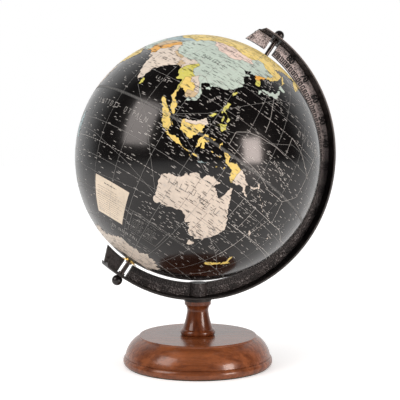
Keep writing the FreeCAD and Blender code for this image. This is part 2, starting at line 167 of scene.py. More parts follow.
def make_wood_grain():
    """Straight grain with soft growth bands and short dark pores."""
    t, given, out = group_of("wood_grain", SHADER,
        [("Vector", VECTOR, None), ("Light", COLOUR, (0.3, 0.1, 0.04, 1)), ("Dark", COLOUR, (0.1, 0.03, 0.01, 1)),
         ("Bands", FLOAT, 60.0), ("Pores", FLOAT, 900.0)],
        [("Colour", COLOUR), ("Roughness", FLOAT), ("Height", FLOAT)])
    long_way = t.vector("MULTIPLY", given["Vector"], (0.03, 1.0, 1.0))
    wander = t.put("ShaderNodeTexNoise", {"Vector": long_way, "Scale": 9.0, "Detail": 3.0}).outputs["Color"]
    bent = t.vector("ADD", long_way, t.vector("MULTIPLY", wander, (0.008, 0.008, 0.008)))
    band = t.put("ShaderNodeTexNoise",
                 {"Vector": bent, "Scale": given["Bands"], "Detail": 6.0, "Roughness": 0.62}).outputs[0]
    streak = t.put("ShaderNodeTexNoise", {"Vector": t.vector("MULTIPLY", given["Vector"], (0.03, 1.0, 1.0)),
                                          "Scale": given["Pores"], "Detail": 2.0}).outputs[0]
    pore = t.span(streak, 0.56, 0.68)
    tone = t.span(band, 0.20, 0.80, smooth=True)
    wood = t.blend(tone, given["Dark"], given["Light"])
    t.tree.links.new(t.blend(t.math("MULTIPLY", pore, 0.55), wood, given["Dark"]), out["Colour"])
    t.tree.links.new(t.span(t.math("ADD", pore, band), 0.3, 1.6, 0.24, 0.42), out["Roughness"])
    t.tree.links.new(t.math("SUBTRACT", t.math("MULTIPLY", band, 0.3), pore), out["Height"])
    return t.tree


def make_printed_paper():
    """Ink on paper: faint fibres, tiny worn specks where the paper shows, uneven gloss."""
    t, given, out = group_of("printed_paper", SHADER,
        [("Ink", COLOUR, (0, 0, 0, 1)), ("Rubbed", COLOUR, (0.5, 0.5, 0.5, 1)),
          ("Wear", FLOAT, 0.5), ("Gloss", FLOAT, 0.3)],
        [("Colour", COLOUR), ("Roughness", FLOAT), ("Height", FLOAT)])
    place = t.put("ShaderNodeTexCoord").outputs["Object"]
    tone = t.put("ShaderNodeGroup", {"Colour": given["Ink"], "Scale": 22.0, "Contrast": 0.22}, node_tree=MOTTLE)
    speck = t.put("ShaderNodeTexNoise", {"Vector": place, "Scale": 950.0, "Detail": 1.0}).outputs[0]
    region = t.put("ShaderNodeTexNoise", {"Vector": place, "Scale": 14.0, "Detail": 3.0}).outputs[0]
    level = t.math("SUBTRACT", 0.79, t.math("MULTIPLY", region, 0.10))
    worn = t.math("MULTIPLY", t.math("GREATER_THAN", speck, level), given["Wear"])
    t.tree.links.new(t.blend(worn, tone.outputs["Colour"], given["Rubbed"]), out["Colour"])
    t.tree.links.new(t.math("ADD", given["Gloss"], t.math("MULTIPLY", t.math("SUBTRACT", region, 0.5), 0.16)),
                     out["Roughness"])
    fibre = t.put("ShaderNodeTexNoise", {"Vector": place, "Scale": 420.0, "Detail": 3.0}).outputs[0]
    t.tree.links.new(t.math("SUBTRACT", fibre, worn), out["Height"])
    return t.tree


def make_stipple():
    """The pebbled ground of a sand-cast face."""
    t, given, out = group_of("stipple", SHADER, [("Grain", FLOAT, 900.0)], [("Height", FLOAT), ("Mask", FLOAT)])
    place = t.put("ShaderNodeTexCoord").outputs["Object"]
    cell = t.put("ShaderNodeTexVoronoi",
                 {"Vector": place, "Scale": given["Grain"]}, feature="SMOOTH_F1").outputs["Distance"]
    drift = t.put("ShaderNodeTexNoise", {"Vector": place, "Scale": 130.0, "Detail": 4.0}).outputs[0]
    t.tree.links.new(t.math("ADD", cell, t.math("MULTIPLY", drift, 0.8)), out["Height"])
    t.tree.links.new(t.span(t.math("ADD", t.math("MULTIPLY", cell, 0.8), drift), 0.50, 0.95), out["Mask"])
    return t.tree


MOTTLE = make_mottle()
EDGE_WEAR = make_edge_wear()
WOOD_GRAIN = make_wood_grain()
PRINTED_PAPER = make_printed_paper()
STIPPLE = make_stipple()


def shared(t, tree, **feeds):
    node = t.put("ShaderNodeGroup", node_tree=tree)
    for key, value in feeds.items():
        socket = node.inputs[key]
        if isinstance(value, bpy.types.NodeSocket):
            t.tree.links.new(value, socket)
        else:
            socket.default_value = value
    return node.outputs


def material(name, **numbers):
    """A new material with its Principled BSDF; the numbers go straight on the shader's sockets."""
    mat = bpy.data.materials.new(name)
    mat.use_nodes = True
    shader = mat.node_tree.nodes["Principled BSDF"]
    for key, value in numbers.items():
        shader.inputs[key.replace("_", " ")].default_value = value
    return mat, Tree(mat.node_tree), shader


def join(t, shader, **sockets):
    for key, value in sockets.items():
        t.tree.links.new(value, shader.inputs[key.replace("_", " ")])


def bump(t, shader, height, strength, distance):
    node = t.put("ShaderNodeBump", {"Height": height, "Strength": strength, "Distance": distance})
    t.tree.links.new(node.outputs[0], shader.inputs["Normal"])


def rgb(*values):
    return (*values, 1.0)


def printed(name, ink, rubbed_and_top_light, wear, gloss, **numbers):
    mat, t, shader = material(name, **numbers)
    paper = shared(t, PRINTED_PAPER, Ink=ink, Rubbed=rubbed_and_top_light, Wear=wear, Gloss=gloss)
    join(t, shader, Base_Color=paper["Colour"], Roughness=paper["Roughness"])
    bump(t, shader, paper["Height"], 0.12, 0.00012)
    return mat


def ink(name, colour, gloss):
    mat, t, shader = material(name, Base_Color=colour, Specular_IOR_Level=0.3)
    tone = shared(t, MOTTLE, Scale=60.0, Contrast=0.2)
    join(t, shader, Roughness=t.span(tone["Value"], 0.2, 0.8, gloss - 0.1, gloss + 0.1))
    return mat


def wooden(name, light, dark, turned, rough_coat):
    mat, t, shader = material(name, Coat_Weight=0.6, Coat_Roughness=rough_coat, Coat_IOR=1.45,
                              Specular_IOR_Level=0.25)
    place = t.put("ShaderNodeTexCoord").outputs["Object"]
    placed = t.put("ShaderNodeMapping", {"Vector": place, "Rotation": turned}).outputs[0]
    grain = shared(t, WOOD_GRAIN, Vector=placed, Light=light, Dark=dark, Bands=150.0, Pores=1300.0)
    edge = shared(t, EDGE_WEAR, Width=0.0012, Strength=1.4, Breakup=160.0)["Mask"]
    tone = shared(t, MOTTLE, Colour=grain["Colour"], Scale=11.0, Contrast=0.25)["Colour"]
    join(t, shader, Base_Color=t.blend(t.math("MULTIPLY", edge, 0.35), tone, light), Roughness=grain["Roughness"])
    bump(t, shader, grain["Height"], 0.10, 0.00012)
    return mat


def metal(name, colour, worn, gloss, wear, scratch=0.1, metallic=1.0):
    mat, t, shader = material(name, Metallic=metallic)
    tone = shared(t, MOTTLE, Colour=colour, Scale=70.0, Contrast=0.3)
    edge = shared(t, EDGE_WEAR, Width=0.0008, Strength=wear, Breakup=300.0)["Mask"]
    join(t, shader, Base_Color=t.blend(edge, tone["Colour"], worn),
         Roughness=t.span(tone["Value"], 0.25, 0.75, gloss - 0.08, gloss + 0.12))
    bump(t, shader, tone["Value"], scratch, 0.0002)
    return mat


def arm_finish():
    """Dark bronze casting: stippled ground on the flat web, pale with dust and painted light towards the top, dark
    with painted shade towards the bottom; black rim whose front lip is a painted highlight; worn edges.
    """
    mat, t, shader = material("arm_bronze", Specular_IOR_Level=0.4)
    place = t.put("ShaderNodeTexCoord").outputs["Object"]
    out = t.vector("SUBTRACT", place, tuple(HUB))
    flat = t.vector("MULTIPLY", out, (1.0, 0.0, 1.0))
    reach = t.vector("LENGTH", flat)
    depth = t.math("ABSOLUTE", t.put("ShaderNodeSeparateXYZ", {0: place}).outputs[1])
    web = t.math("MULTIPLY", t.span(reach, RIM_IN - 0.0006, RIM_IN, 1.0, 0.0), t.span(depth, 0.0017, 0.0019))
    lip = t.math("MULTIPLY", t.span(depth, 0.0150, 0.0158), t.span(reach, RIM_OUT - 0.0012, RIM_OUT - 0.0006))
    ground = shared(t, STIPPLE, Grain=520.0)
    body = shared(t, MOTTLE, Colour=rgb(0.006, 0.0045, 0.004), Scale=45.0, Contrast=0.3)
    # pale tone of the stippled ground: partly dust in the pebbling, partly a painted reflection of the bright room
    pale = shared(t, MOTTLE, Colour=rgb(0.58, 0.49, 0.47), Scale=30.0, Contrast=0.25)["Colour"]
    # The web grows paler towards the top and darker towards the bottom: painted light from above and painted shade
    # under the ball.
    height = t.put("ShaderNodeSeparateXYZ", {0: place}).outputs[2]
    rubbed_and_top_light = t.span(height, 0.25, 0.37, 0.06, 1.0)
    dust_and_top_light = t.blend(t.math("MULTIPLY", ground["Mask"], rubbed_and_top_light, clamp=True), rgb(0.012, 0.009, 0.009), pale)
    tone = t.blend(web, body["Colour"], dust_and_top_light)
    # Pale bronze on the rim's front lip, strongest towards the top: a painted highlight.
    tone = t.blend(t.math("MULTIPLY", lip, t.math("MULTIPLY", rubbed_and_top_light, 0.9)), tone, rgb(0.30, 0.225, 0.195))
    edge = shared(t, EDGE_WEAR, Width=0.0007, Strength=1.2, Breakup=260.0)["Mask"]
    join(t, shader, Base_Color=t.blend(t.math("MULTIPLY", edge, 0.4), tone, rgb(0.16, 0.12, 0.10)),
         Roughness=t.span(web, 0.0, 1.0, 0.42, 0.30), Metallic=t.math("MULTIPLY", lip, 0.3))
    bump(t, shader, t.math("MULTIPLY", ground["Height"], t.math("ADD", t.math("MULTIPLY", web, 0.9), 0.12)),
         1.0, 0.0012)
    return mat


def felt_finish():
    mat, t, shader = material("green_felt", Roughness=0.95, Sheen_Weight=0.3, Sheen_Roughness=0.5)
    tone = shared(t, MOTTLE, Colour=rgb(0.03, 0.055, 0.035), Scale=260.0, Contrast=0.4)
    join(t, shader, Base_Color=tone["Colour"])
    bump(t, shader, tone["Value"], 0.6, 0.0006)
    return mat


def cardboard(name, colour):
    mat, t, shader = material(name, Roughness=0.9)
    tone = shared(t, MOTTLE, Colour=colour, Scale=50.0, Contrast=0.25)
    join(t, shader, Base_Color=tone["Colour"])
    bump(t, shader, tone["Value"], 0.3, 0.0004)
    return mat


OCEAN = printed("ocean_print", rgb(0.0042, 0.0036, 0.0036), rgb(0.16, 0.15, 0.14), 0.4, 0.20,
                Specular_IOR_Level=0.22, Coat_Weight=0.55, Coat_Roughness=0.13)
LAND_COLOURS = {
    "cream": rgb(0.66, 0.575, 0.485), "rose": rgb(0.74, 0.58, 0.50), "mint": rgb(0.47, 0.56, 0.49),
    "slate": rgb(0.34, 0.46, 0.48), "yellow": rgb(0.76, 0.57, 0.16), "lime": rgb(0.60, 0.56, 0.12),
    "tan": rgb(0.55, 0.42, 0.25), "orange": rgb(0.76, 0.38, 0.06),
}
LAND = {k: printed("land_" + k, c, rgb(0.30, 0.26, 0.2), 0.25, 0.36, Specular_IOR_Level=0.4)
        for k, c in LAND_COLOURS.items()}
INK_DARK = ink("ink_dark", rgb(0.022, 0.018, 0.016), 0.5)
INK_BORDER = ink("ink_border", rgb(0.16, 0.10, 0.08), 0.5)
INK_PALE = ink("ink_pale", rgb(0.52, 0.50, 0.47), 0.5)
INK_GREY = ink("ink_grey", rgb(0.25, 0.245, 0.235), 0.5)
LEGEND = printed("legend_paper", rgb(0.70, 0.60, 0.47), rgb(0.3, 0.26, 0.2), 0.3, 0.36)

FINISH = {
    "felt": felt_finish(),
    "base_wood": wooden("base_mahogany", rgb(0.30, 0.092, 0.030), rgb(0.095, 0.024, 0.009), (0, 0, 0.35), 0.16),
    "post_wood": wooden("post_mahogany", rgb(0.20, 0.052, 0.014), rgb(0.060, 0.014, 0.005),
                        (0, math.pi / 2, 0), 0.12),
    "arm_metal": arm_finish(),
    "fastener_steel": metal("zinc_steel", rgb(0.42, 0.42, 0.43), rgb(0.7, 0.7, 0.7), 0.35, 1.5),
    "pin_metal": metal("pin_steel", rgb(0.10, 0.085, 0.08), rgb(0.5, 0.44, 0.4), 0.3, 2.0),
    "ball_metal": metal("ball_lacquer", rgb(0.012, 0.009, 0.009), rgb(0.1, 0.08, 0.07), 0.2, 0.6, 0.03, 0.0),
    "polar_brass": metal("polar_brass", rgb(0.75, 0.50, 0.14), rgb(0.95, 0.75, 0.35), 0.22, 1.5),
    "shell_board": cardboard("shell_board", rgb(0.30, 0.27, 0.22)),
    "block_wood": cardboard("block_wood", rgb(0.45, 0.30, 0.16)),
    "map_paper": OCEAN,
    "disc_paper": printed("disc_print", rgb(0.008, 0.008, 0.009), rgb(0.25, 0.24, 0.2), 0.4, 0.3),
    "tape_paper": printed("tape_print", rgb(0.010, 0.011, 0.011), rgb(0.25, 0.24, 0.2), 0.4, 0.3),
}

for part in frame["record"]["subparts"]:
    mesh = frame["nodes"][part["node"]].data
    mesh.materials.clear()
    mesh.materials.append(FINISH[part["material_slot"]])


# ---- mesh helpers ---------------------------------------------------------


def finish_piece(name, mesh, mat, body, replaced=()):
    """Makes the piece, puts it on its body, gives it the material when one is given and hides the parts it
    replaces.
    """
    obj = bpy.data.objects.new(name, mesh)
    mesh.name = name
    bpy.context.scene.collection.objects.link(obj)
    if mat is not None:
        mesh.materials.clear()
        mesh.materials.append(mat)
    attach(obj, body)
    if replaced:
        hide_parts(*replaced)
    return obj


def mesh_of(name, points, faces, place=None):
    mesh = bpy.data.meshes.new(name)
    mesh.from_pydata(points, [], faces)
    if place is not None:
        mesh.transform(place)
    mesh.update()
    return mesh


def lie_round(mesh):
    """Shades a thin printed layer as smoothly as the ball under it."""
    mesh.shade_smooth()
    mesh.normals_split_custom_set_from_vertices([(v.co - CENTRE).normalized() for v in mesh.vertices])


def on_ball(lon, lat, lift=0.0):
    lon, lat, r = math.radians(lon), math.radians(lat), BALL + lift
    return r * math.cos(lat) * math.cos(lon), r * math.cos(lat) * math.sin(lon), r * math.sin(lat)


def turn(profile, steps, place=None):
    """Revolves a closed profile of (radius, height) about the upright axis."""
    points, faces, count = [], [], len(profile)
    for k in range(steps):
        a = 2 * math.pi * k / steps
        points += [(r * math.cos(a), r * math.sin(a), z) for r, z in profile]
    for k in range(steps):
        near, far = k * count, (k + 1) % steps * count
        for j in range(count):
            i = (j + 1) % count
            faces.append((near + j, far + j, far + i, near + i))
    return mesh_of("turned", points, faces, place)


def joined(meshes, name):
    points, faces = [], []
    for mesh in meshes:
        first = len(points)
        points += [tuple(v.co) for v in mesh.vertices]
        faces += [tuple(first + k for k in p.vertices) for p in mesh.polygons]
    return mesh_of(name, points, faces)


# ---- geometry-node trees --------------------------------------------------


def net_tree():
    """Thin ribbons lying on the ball: a fan of meridians and a stack of parallels."""
    t, given, out = group_of("ruled_net", GEOMETRY,
        [("Geometry", "NodeSocketGeometry", None), ("Radius", FLOAT, 0.15), ("Width", FLOAT, 0.0004),
         ("Meridians", "NodeSocketInt", 24), ("Parallels", "NodeSocketInt", 11), ("First parallel", FLOAT, -75.0),
         ("Step", FLOAT, 15.0), ("Reach", FLOAT, 80.0), ("Material", "NodeSocketMaterial", None)],
        [("Geometry", "NodeSocketGeometry")])
    strip = t.put("GeometryNodeMeshGrid", {"Size X": 1.0, "Size Y": 1.0, "Vertices X": 121, "Vertices Y": 2})
    at = t.put("ShaderNodeSeparateXYZ", {0: t.put("GeometryNodeInputPosition").outputs[0]})
    lat = t.math("RADIANS", t.math("MULTIPLY", t.math("MULTIPLY", at.outputs[0], 2.0), given["Reach"]))
    bent = t.put("ShaderNodeCombineXYZ", {
        0: t.math("MULTIPLY", t.math("COSINE", lat), given["Radius"]),
        1: t.math("MULTIPLY", at.outputs[1], t.math("MULTIPLY", given["Width"], -1.0)),
        2: t.math("MULTIPLY", t.math("SINE", lat), given["Radius"])})
    meridian = t.put("GeometryNodeSetPosition", {"Geometry": strip.outputs["Mesh"], "Position": bent.outputs[0]})
    posts = t.put("GeometryNodeMeshLine", {"Count": given["Meridians"], "Offset": (0, 0, 0)})
    index = t.put("GeometryNodeInputIndex").outputs[0]
    twist = t.put("ShaderNodeCombineXYZ",
                  {2: t.math("MULTIPLY", index, t.math("DIVIDE", 2 * math.pi, given["Meridians"]))})
    fan = t.put("GeometryNodeInstanceOnPoints",
                {"Points": posts.outputs[0], "Instance": meridian.outputs[0], "Rotation": twist.outputs[0]})
    hoop = t.put("GeometryNodeMeshCylinder", {"Vertices": 180, "Radius": 1.0, "Depth": 1.0}, fill_type="NONE")
    level = t.math("RADIANS", t.math("ADD", given["First parallel"], t.math("MULTIPLY", index, given["Step"])))
    rows = t.put("GeometryNodeMeshLine", {"Count": given["Parallels"], "Offset": (0, 0, 0)})
    height = t.put("ShaderNodeCombineXYZ", {2: t.math("MULTIPLY", t.math("SINE", level), given["Radius"])})
    raised = t.put("GeometryNodeSetPosition", {"Geometry": rows.outputs[0], "Offset": height.outputs[0]})
    girth = t.math("MULTIPLY", t.math("COSINE", level), given["Radius"])
    size = t.put("ShaderNodeCombineXYZ",
                 {0: girth, 1: girth, 2: t.math("DIVIDE", given["Width"], t.math("COSINE", level))})
    stack = t.put("GeometryNodeInstanceOnPoints",
                  {"Points": raised.outputs[0], "Instance": hoop.outputs["Mesh"], "Scale": size.outputs[0]})
    both = t.put("GeometryNodeJoinGeometry")
    t.tree.links.new(fan.outputs[0], both.inputs[0])
    t.tree.links.new(stack.outputs[0], both.inputs[0])
    real = t.put("GeometryNodeRealizeInstances", {0: both.outputs[0]})
    outward = t.vector("NORMALIZE", t.put("GeometryNodeInputPosition").outputs[0])
    seated = t.put("ShaderNodeVectorMath", {0: outward, "Scale": given["Radius"]}, operation="SCALE")
    hugged = t.put("GeometryNodeSetPosition", {"Geometry": real.outputs[0], "Position": seated.outputs["Vector"]})
    inked = t.put("GeometryNodeSetMaterial", {"Geometry": hugged.outputs[0], "Material": given["Material"]})
    t.tree.links.new(inked.outputs[0], out["Geometry"])
    return t.tree


def word_tree():
    """Scatters unreadable short rows of marks, in the manner of tiny place names, over a printed sheet."""
    t, given, out = group_of("small_print", GEOMETRY,
        [("Geometry", "NodeSocketGeometry", None), ("Density", FLOAT, 9000.0), ("Seed", "NodeSocketInt", 3),
         ("Letters", "NodeSocketInt", 5), ("Pitch", FLOAT, 0.0006), ("Height", FLOAT, 0.0007),
          ("Lift", FLOAT, 0.0001),
         ("Material", "NodeSocketMaterial", None)],
        [("Geometry", "NodeSocketGeometry")])
    spots = t.put("GeometryNodeDistributePointsOnFaces",
                  {"Mesh": given["Geometry"], "Density": given["Density"], "Seed": given["Seed"]})
    gap = t.put("ShaderNodeCombineXYZ", {0: given["Pitch"]})
    row = t.put("GeometryNodeMeshLine", {"Count": given["Letters"], "Offset": gap.outputs[0]})
    stroke = t.put("GeometryNodeMeshGrid", {"Size X": 0.6, "Size Y": 1.0, "Vertices X": 2, "Vertices Y": 2})
    wide = t.put("FunctionNodeRandomValue", {2: 0.35, 3: 1.3, "Seed": 11}, data_type="FLOAT")
    tall = t.put("FunctionNodeRandomValue", {2: 0.45, 3: 1.0, "Seed": 12}, data_type="FLOAT")
    size = t.put("ShaderNodeCombineXYZ", {0: t.math("MULTIPLY", wide.outputs[1], given["Pitch"]),
                                          1: t.math("MULTIPLY", tall.outputs[1], given["Height"]), 2: 1.0})
    word = t.put("GeometryNodeInstanceOnPoints",
                 {"Points": row.outputs[0], "Instance": stroke.outputs["Mesh"], "Scale": size.outputs[0]})
    solid = t.put("GeometryNodeRealizeInstances", {0: word.outputs[0]})
    up = t.vector("NORMALIZE", t.put("GeometryNodeInputPosition").outputs[0])
    east = t.vector("NORMALIZE", t.vector("CROSS_PRODUCT", (0, 0, 1), up))
    facing = t.put("FunctionNodeAxesToRotation", {0: up, 1: east}, primary_axis="Z", secondary_axis="X")
    scale = t.put("FunctionNodeRandomValue", {2: 0.55, 3: 1.25, "Seed": given["Seed"]}, data_type="FLOAT")
    placed = t.put("GeometryNodeInstanceOnPoints", {"Points": spots.outputs[0], "Instance": solid.outputs[0],
                                                    "Rotation": facing.outputs[0], "Scale": scale.outputs[1]})
    real = t.put("GeometryNodeRealizeInstances", {0: placed.outputs[0]})
    away = t.put("ShaderNodeVectorMath",
                 {0: t.vector("NORMALIZE", t.put("GeometryNodeInputPosition").outputs[0]),
                  "Scale": given["Lift"]}, operation="SCALE")
    raised = t.put("GeometryNodeSetPosition", {"Geometry": real.outputs[0], "Offset": away.outputs["Vector"]})
    inked = t.put("GeometryNodeSetMaterial", {"Geometry": raised.outputs[0], "Material": given["Material"]})
    t.tree.links.new(inked.outputs[0], out["Geometry"])
    return t.tree


def ring_tree():
    """Repeats the given shape round the upright axis."""
    t, given, out = group_of("ring_of_marks", GEOMETRY,
        [("Geometry", "NodeSocketGeometry", None), ("Count", "NodeSocketInt", 360),
          ("Start", FLOAT, 0.0), ("Step", FLOAT, 1.0),
         ("Material", "NodeSocketMaterial", None)],
        [("Geometry", "NodeSocketGeometry")])
    posts = t.put("GeometryNodeMeshLine", {"Count": given["Count"], "Offset": (0, 0, 0)})
    index = t.put("GeometryNodeInputIndex").outputs[0]
    angle = t.math("RADIANS", t.math("ADD", given["Start"], t.math("MULTIPLY", index, given["Step"])))
    twist = t.put("ShaderNodeCombineXYZ", {2: angle})
    ring = t.put("GeometryNodeInstanceOnPoints",
                 {"Points": posts.outputs[0], "Instance": given["Geometry"], "Rotation": twist.outputs[0]})
    real = t.put("GeometryNodeRealizeInstances", {0: ring.outputs[0]})
    inked = t.put("GeometryNodeSetMaterial", {"Geometry": real.outputs[0], "Material": given["Material"]})
    t.tree.links.new(inked.outputs[0], out["Geometry"])
    return t.tree


def thread_tree():
    """A helical ridge wound up the upright axis."""
    t, given, out = group_of("screw_thread", GEOMETRY,
        [("Geometry", "NodeSocketGeometry", None), ("Turns", FLOAT, 12.0),
          ("Radius", FLOAT, 0.0026), ("Length", FLOAT, 0.015),
         ("Ridge", FLOAT, 0.0004), ("Material", "NodeSocketMaterial", None)],
        [("Geometry", "NodeSocketGeometry")])
    helix = t.put("GeometryNodeCurveSpiral", {"Resolution": 20, "Rotations": given["Turns"],
                                                   "Start Radius": given["Radius"],
                                              "End Radius": given["Radius"], "Height": given["Length"]})
    section = t.put("GeometryNodeCurvePrimitiveCircle", {"Resolution": 6, "Radius": given["Ridge"]})
    ridge = t.put("GeometryNodeCurveToMesh",
                  {"Curve": helix.outputs[0], "Profile Curve": section.outputs[0], "Fill Caps": True})
    real = t.put("GeometryNodeRealizeInstances", {0: ridge.outputs[0]})
    coated = t.put("GeometryNodeSetMaterial", {"Geometry": real.outputs[0], "Material": given["Material"]})
    t.tree.links.new(coated.outputs[0], out["Geometry"])
    return t.tree


def grown(tree, seed_mesh, place, **values):
    """Runs a geometry tree on a mesh and gives back the result as a plain mesh in its place."""
    obj = bpy.data.objects.new("grown", seed_mesh)
    bpy.context.scene.collection.objects.link(obj)
    rule = obj.modifiers.new("rule", "NODES")
    rule.node_group = tree
    names = {item.name: item.identifier for item in tree.interface.items_tree if item.in_out == "INPUT"}
    for key, value in values.items():
        rule[names[key.replace("_", " ")]] = value
    scene_now = bpy.context.evaluated_depsgraph_get()
    mesh = bpy.data.meshes.new_from_object(obj.evaluated_get(scene_now))
    obj.modifiers.remove(rule)
    bpy.data.objects.remove(obj)
    mesh.transform(place)
    return mesh


NET, WORDS, RING, THREAD = net_tree(), word_tree(), ring_tree(), thread_tree()


# ---- the globe's paper ----------------------------------------------------

POLE_GAP = 88.0
ARC_STEPS = 60


def ocean_half(sign, lift=0.0, skin=0.4 * MM):
    outer, inner = [], []
    for k in range(ARC_STEPS + 1):
        a = math.radians(POLE_GAP * k / ARC_STEPS)
        outer.append(((BALL + lift) * math.cos(a), (BALL + lift) * math.sin(a) * sign))
        inner.append(((BALL - skin) * math.cos(a), (BALL - skin) * math.sin(a) * sign))
    profile = outer + inner[::-1]
    if sign < 0:
        profile.reverse()
    mesh = turn(profile, 192, GLOBE)
    mesh.shade_smooth()
    mesh.set_sharp_from_angle(angle=math.radians(40))
    return mesh


finish_piece("north_ocean", ocean_half(1), OCEAN, "globe", ["north_map_skin"])
finish_piece("south_ocean", ocean_half(-1), OCEAN, "globe", ["south_map_skin"])



def lines_of(text):
    """The separate outlines of a text; a slash stands between two of them."""
    return [" ".join(part.split()) for part in text.split("/")]


# Coasts and borders, written as pairs of longitude and latitude in degrees.
MAINLAND = """103.5 1.3 104.2 1.4 104.1 2.3 103.4 3.2 103.4 4.5 103.1 5.4 102.2 6.2 101.6 6.9 100.6 7.2 100.3
 8.3 99.9 9.2 99.2 10.3 99.6 11.8 100.0 13.3 100.6 13.5 100.9 12.7 102.0 12.5 102.9 11.6 103.6 10.6 104.9 10.2
 104.8 8.7 106.0 9.4 106.8 10.4 108.0 10.8 109.2 11.6 109.3 13.2 108.9 15.3 107.8 16.5 106.6 17.7 105.7 18.9
 105.9 20.0 106.8 20.7 108.0 21.5 109.2 21.5 109.8 20.4 110.4 20.3 110.5 21.2 111.9 21.7 113.5 22.2 114.3 22.4
 115.8 22.8 117.0 23.5 118.2 24.5 119.5 25.5 120.0 26.7 121.2 28.1 121.9 29.2 122.0 30.0 120.9 30.3 121.9 30.9
 121.8 31.8 120.9 32.6 120.2 34.2 119.3 34.8 120.3 36.0 121.5 36.8 122.5 37.0 122.0 37.5 120.8 37.8 119.2 37.2
 118.6 38.0 117.7 38.7 118.0 39.2 119.3 39.5 120.9 40.6 121.9 40.9 121.3 39.5 121.2 38.8 122.2 39.3 124.3 39.9
 125.3 39.4 125.0 38.0 126.5 37.6 126.4 36.5 126.5 35.0 127.4 34.6 128.8 34.9 129.4 35.6 129.4 37.0 128.4 38.5
 127.4 39.4 128.0 40.0 129.7 40.9 130.0 42.0 131.0 42.6 132.2 43.1 133.2 42.8 135.5 44.4 137.5 46.5 139.0 48.0
 140.4 50.0 141.3 52.3 140.8 53.4 139.2 54.2 137.2 54.0 135.3 54.7 137.2 56.3 139.5 57.5 142.5 59.2 146.0 59.3
 149.0 59.6 151.5 59.2 155.0 59.4 154.8 60.2 157.0 61.7 160.3 61.8 163.3 62.5 163.0 61.0 160.0 60.0 157.0 57.8
 155.7 55.5 155.6 53.0 156.7 51.0 158.3 52.8 160.0 54.5 162.1 54.8 162.0 56.2 163.3 57.8 163.0 59.2 165.5 60.0
 170.3 60.0 174.0 61.8 179.0 62.4 179.3 64.6 183.0 65.4 187.0 64.3 190.2 66.0 185.5 67.0 180.0 68.9 176.0 69.8
 170.5 69.9 170.0 69.0 161.0 69.5 159.8 70.5 152.0 71.0 145.0 72.3 140.0 72.5 137.5 71.3 133.0 71.6 129.5 71.0
 128.5 72.5 123.5 73.2 119.0 73.1 113.5 73.6 110.0 74.0 113.0 75.8 106.0 77.2 104.2 77.7 98.0 76.3 90.0 75.6
 86.8 74.0 80.5 73.3 78.0 72.3 75.0 72.8 73.0 71.3 73.5 68.5 71.5 66.3 72.0 68.8 71.3 71.2 72.0 72.8 69.5 72.8
 67.0 70.0 68.5 68.3 64.5 69.3 60.5 69.7 57.0 68.6 53.5 68.8 48.0 67.6 45.0 68.5 43.5 66.2 39.8 64.6 36.5 64.0
 33.0 66.6 41.0 66.8 40.0 67.8 34.0 69.3 28.5 71.1 22.0 70.2 15.0 68.0 12.0 65.2 8.5 63.2 5.0 61.8 5.3 59.2
 8.0 58.1 10.6 59.3 12.5 56.3 14.3 55.5 16.5 57.0 18.9 60.0 17.2 61.5 21.4 64.5 25.2 65.6 21.4 62.5 22.5 60.3
 28.5 60.4 24.0 59.4 24.0 57.0 21.5 57.3 21.0 55.3 18.5 54.6 14.3 54.0 11.0 54.0 10.8 56.0 10.5 57.6 8.3 56.8
 8.8 54.0 5.0 53.2 3.5 51.5 1.6 50.5 -1.3 49.4 -4.6 48.5 -2.0 47.2 -1.3 44.5 -2.0 43.4 -8.0 43.6 -9.2 42.9
 -8.8 41.0 -9.4 38.7 -8.8 37.1 -6.4 36.8 -5.5 36.0 -2.0 36.8 -0.3 38.5 0.2 40.0 3.2 41.8 3.2 43.1 6.5 43.1 9.0
 44.3 10.5 42.9 12.5 41.6 15.7 40.0 15.7 38.0 17.0 39.0 16.8 40.5 18.4 40.0 18.0 40.8 14.0 42.6 12.4 44.5 13.7
 45.6 15.0 44.5 19.3 41.9 19.4 40.5 21.2 38.3 22.8 36.5 23.8 38.0 22.9 40.3 24.0 40.8 26.1 40.7 26.2 39.4 27.3
 37.0 30.6 36.8 34.0 36.3 36.0 36.6 35.9 34.5 34.9 32.5 34.2 31.3 32.5 31.1 32.5 29.9 34.3 27.8 34.95 29.5
 35.2 28.0 38.5 23.5 39.2 21.3 42.6 16.5 43.3 12.7 45.0 12.9 52.0 15.6 55.2 17.4 58.0 20.3 59.8 22.4 58.6 23.7
 56.4 24.9 56.3 26.2 54.0 24.2 51.6 24.3 51.4 26.1 50.2 26.5 48.3 28.8 48.0 29.9 50.0 30.1 51.3 27.9 54.5 26.6
 57.0 27.0 58.8 25.6 61.6 25.2 66.5 25.2 68.0 23.8 69.0 22.3 70.5 20.8 72.3 21.6 72.8 19.0 73.5 16.0 74.8 13.0
 76.3 9.6 77.5 8.1 78.2 9.0 79.8 10.3 80.2 13.2 80.2 15.5 82.3 16.7 85.0 19.6 87.0 20.9 88.5 21.7 90.5 22.4
 91.8 22.4 92.4 20.8 94.2 18.5 94.4 16.0 95.4 15.8 97.2 17.0 97.7 15.0 98.6 12.0 98.5 9.8 98.3 8.2 99.6 6.8
 100.4 5.6 100.8 4.0 101.3 2.9 102.5 2.0"""

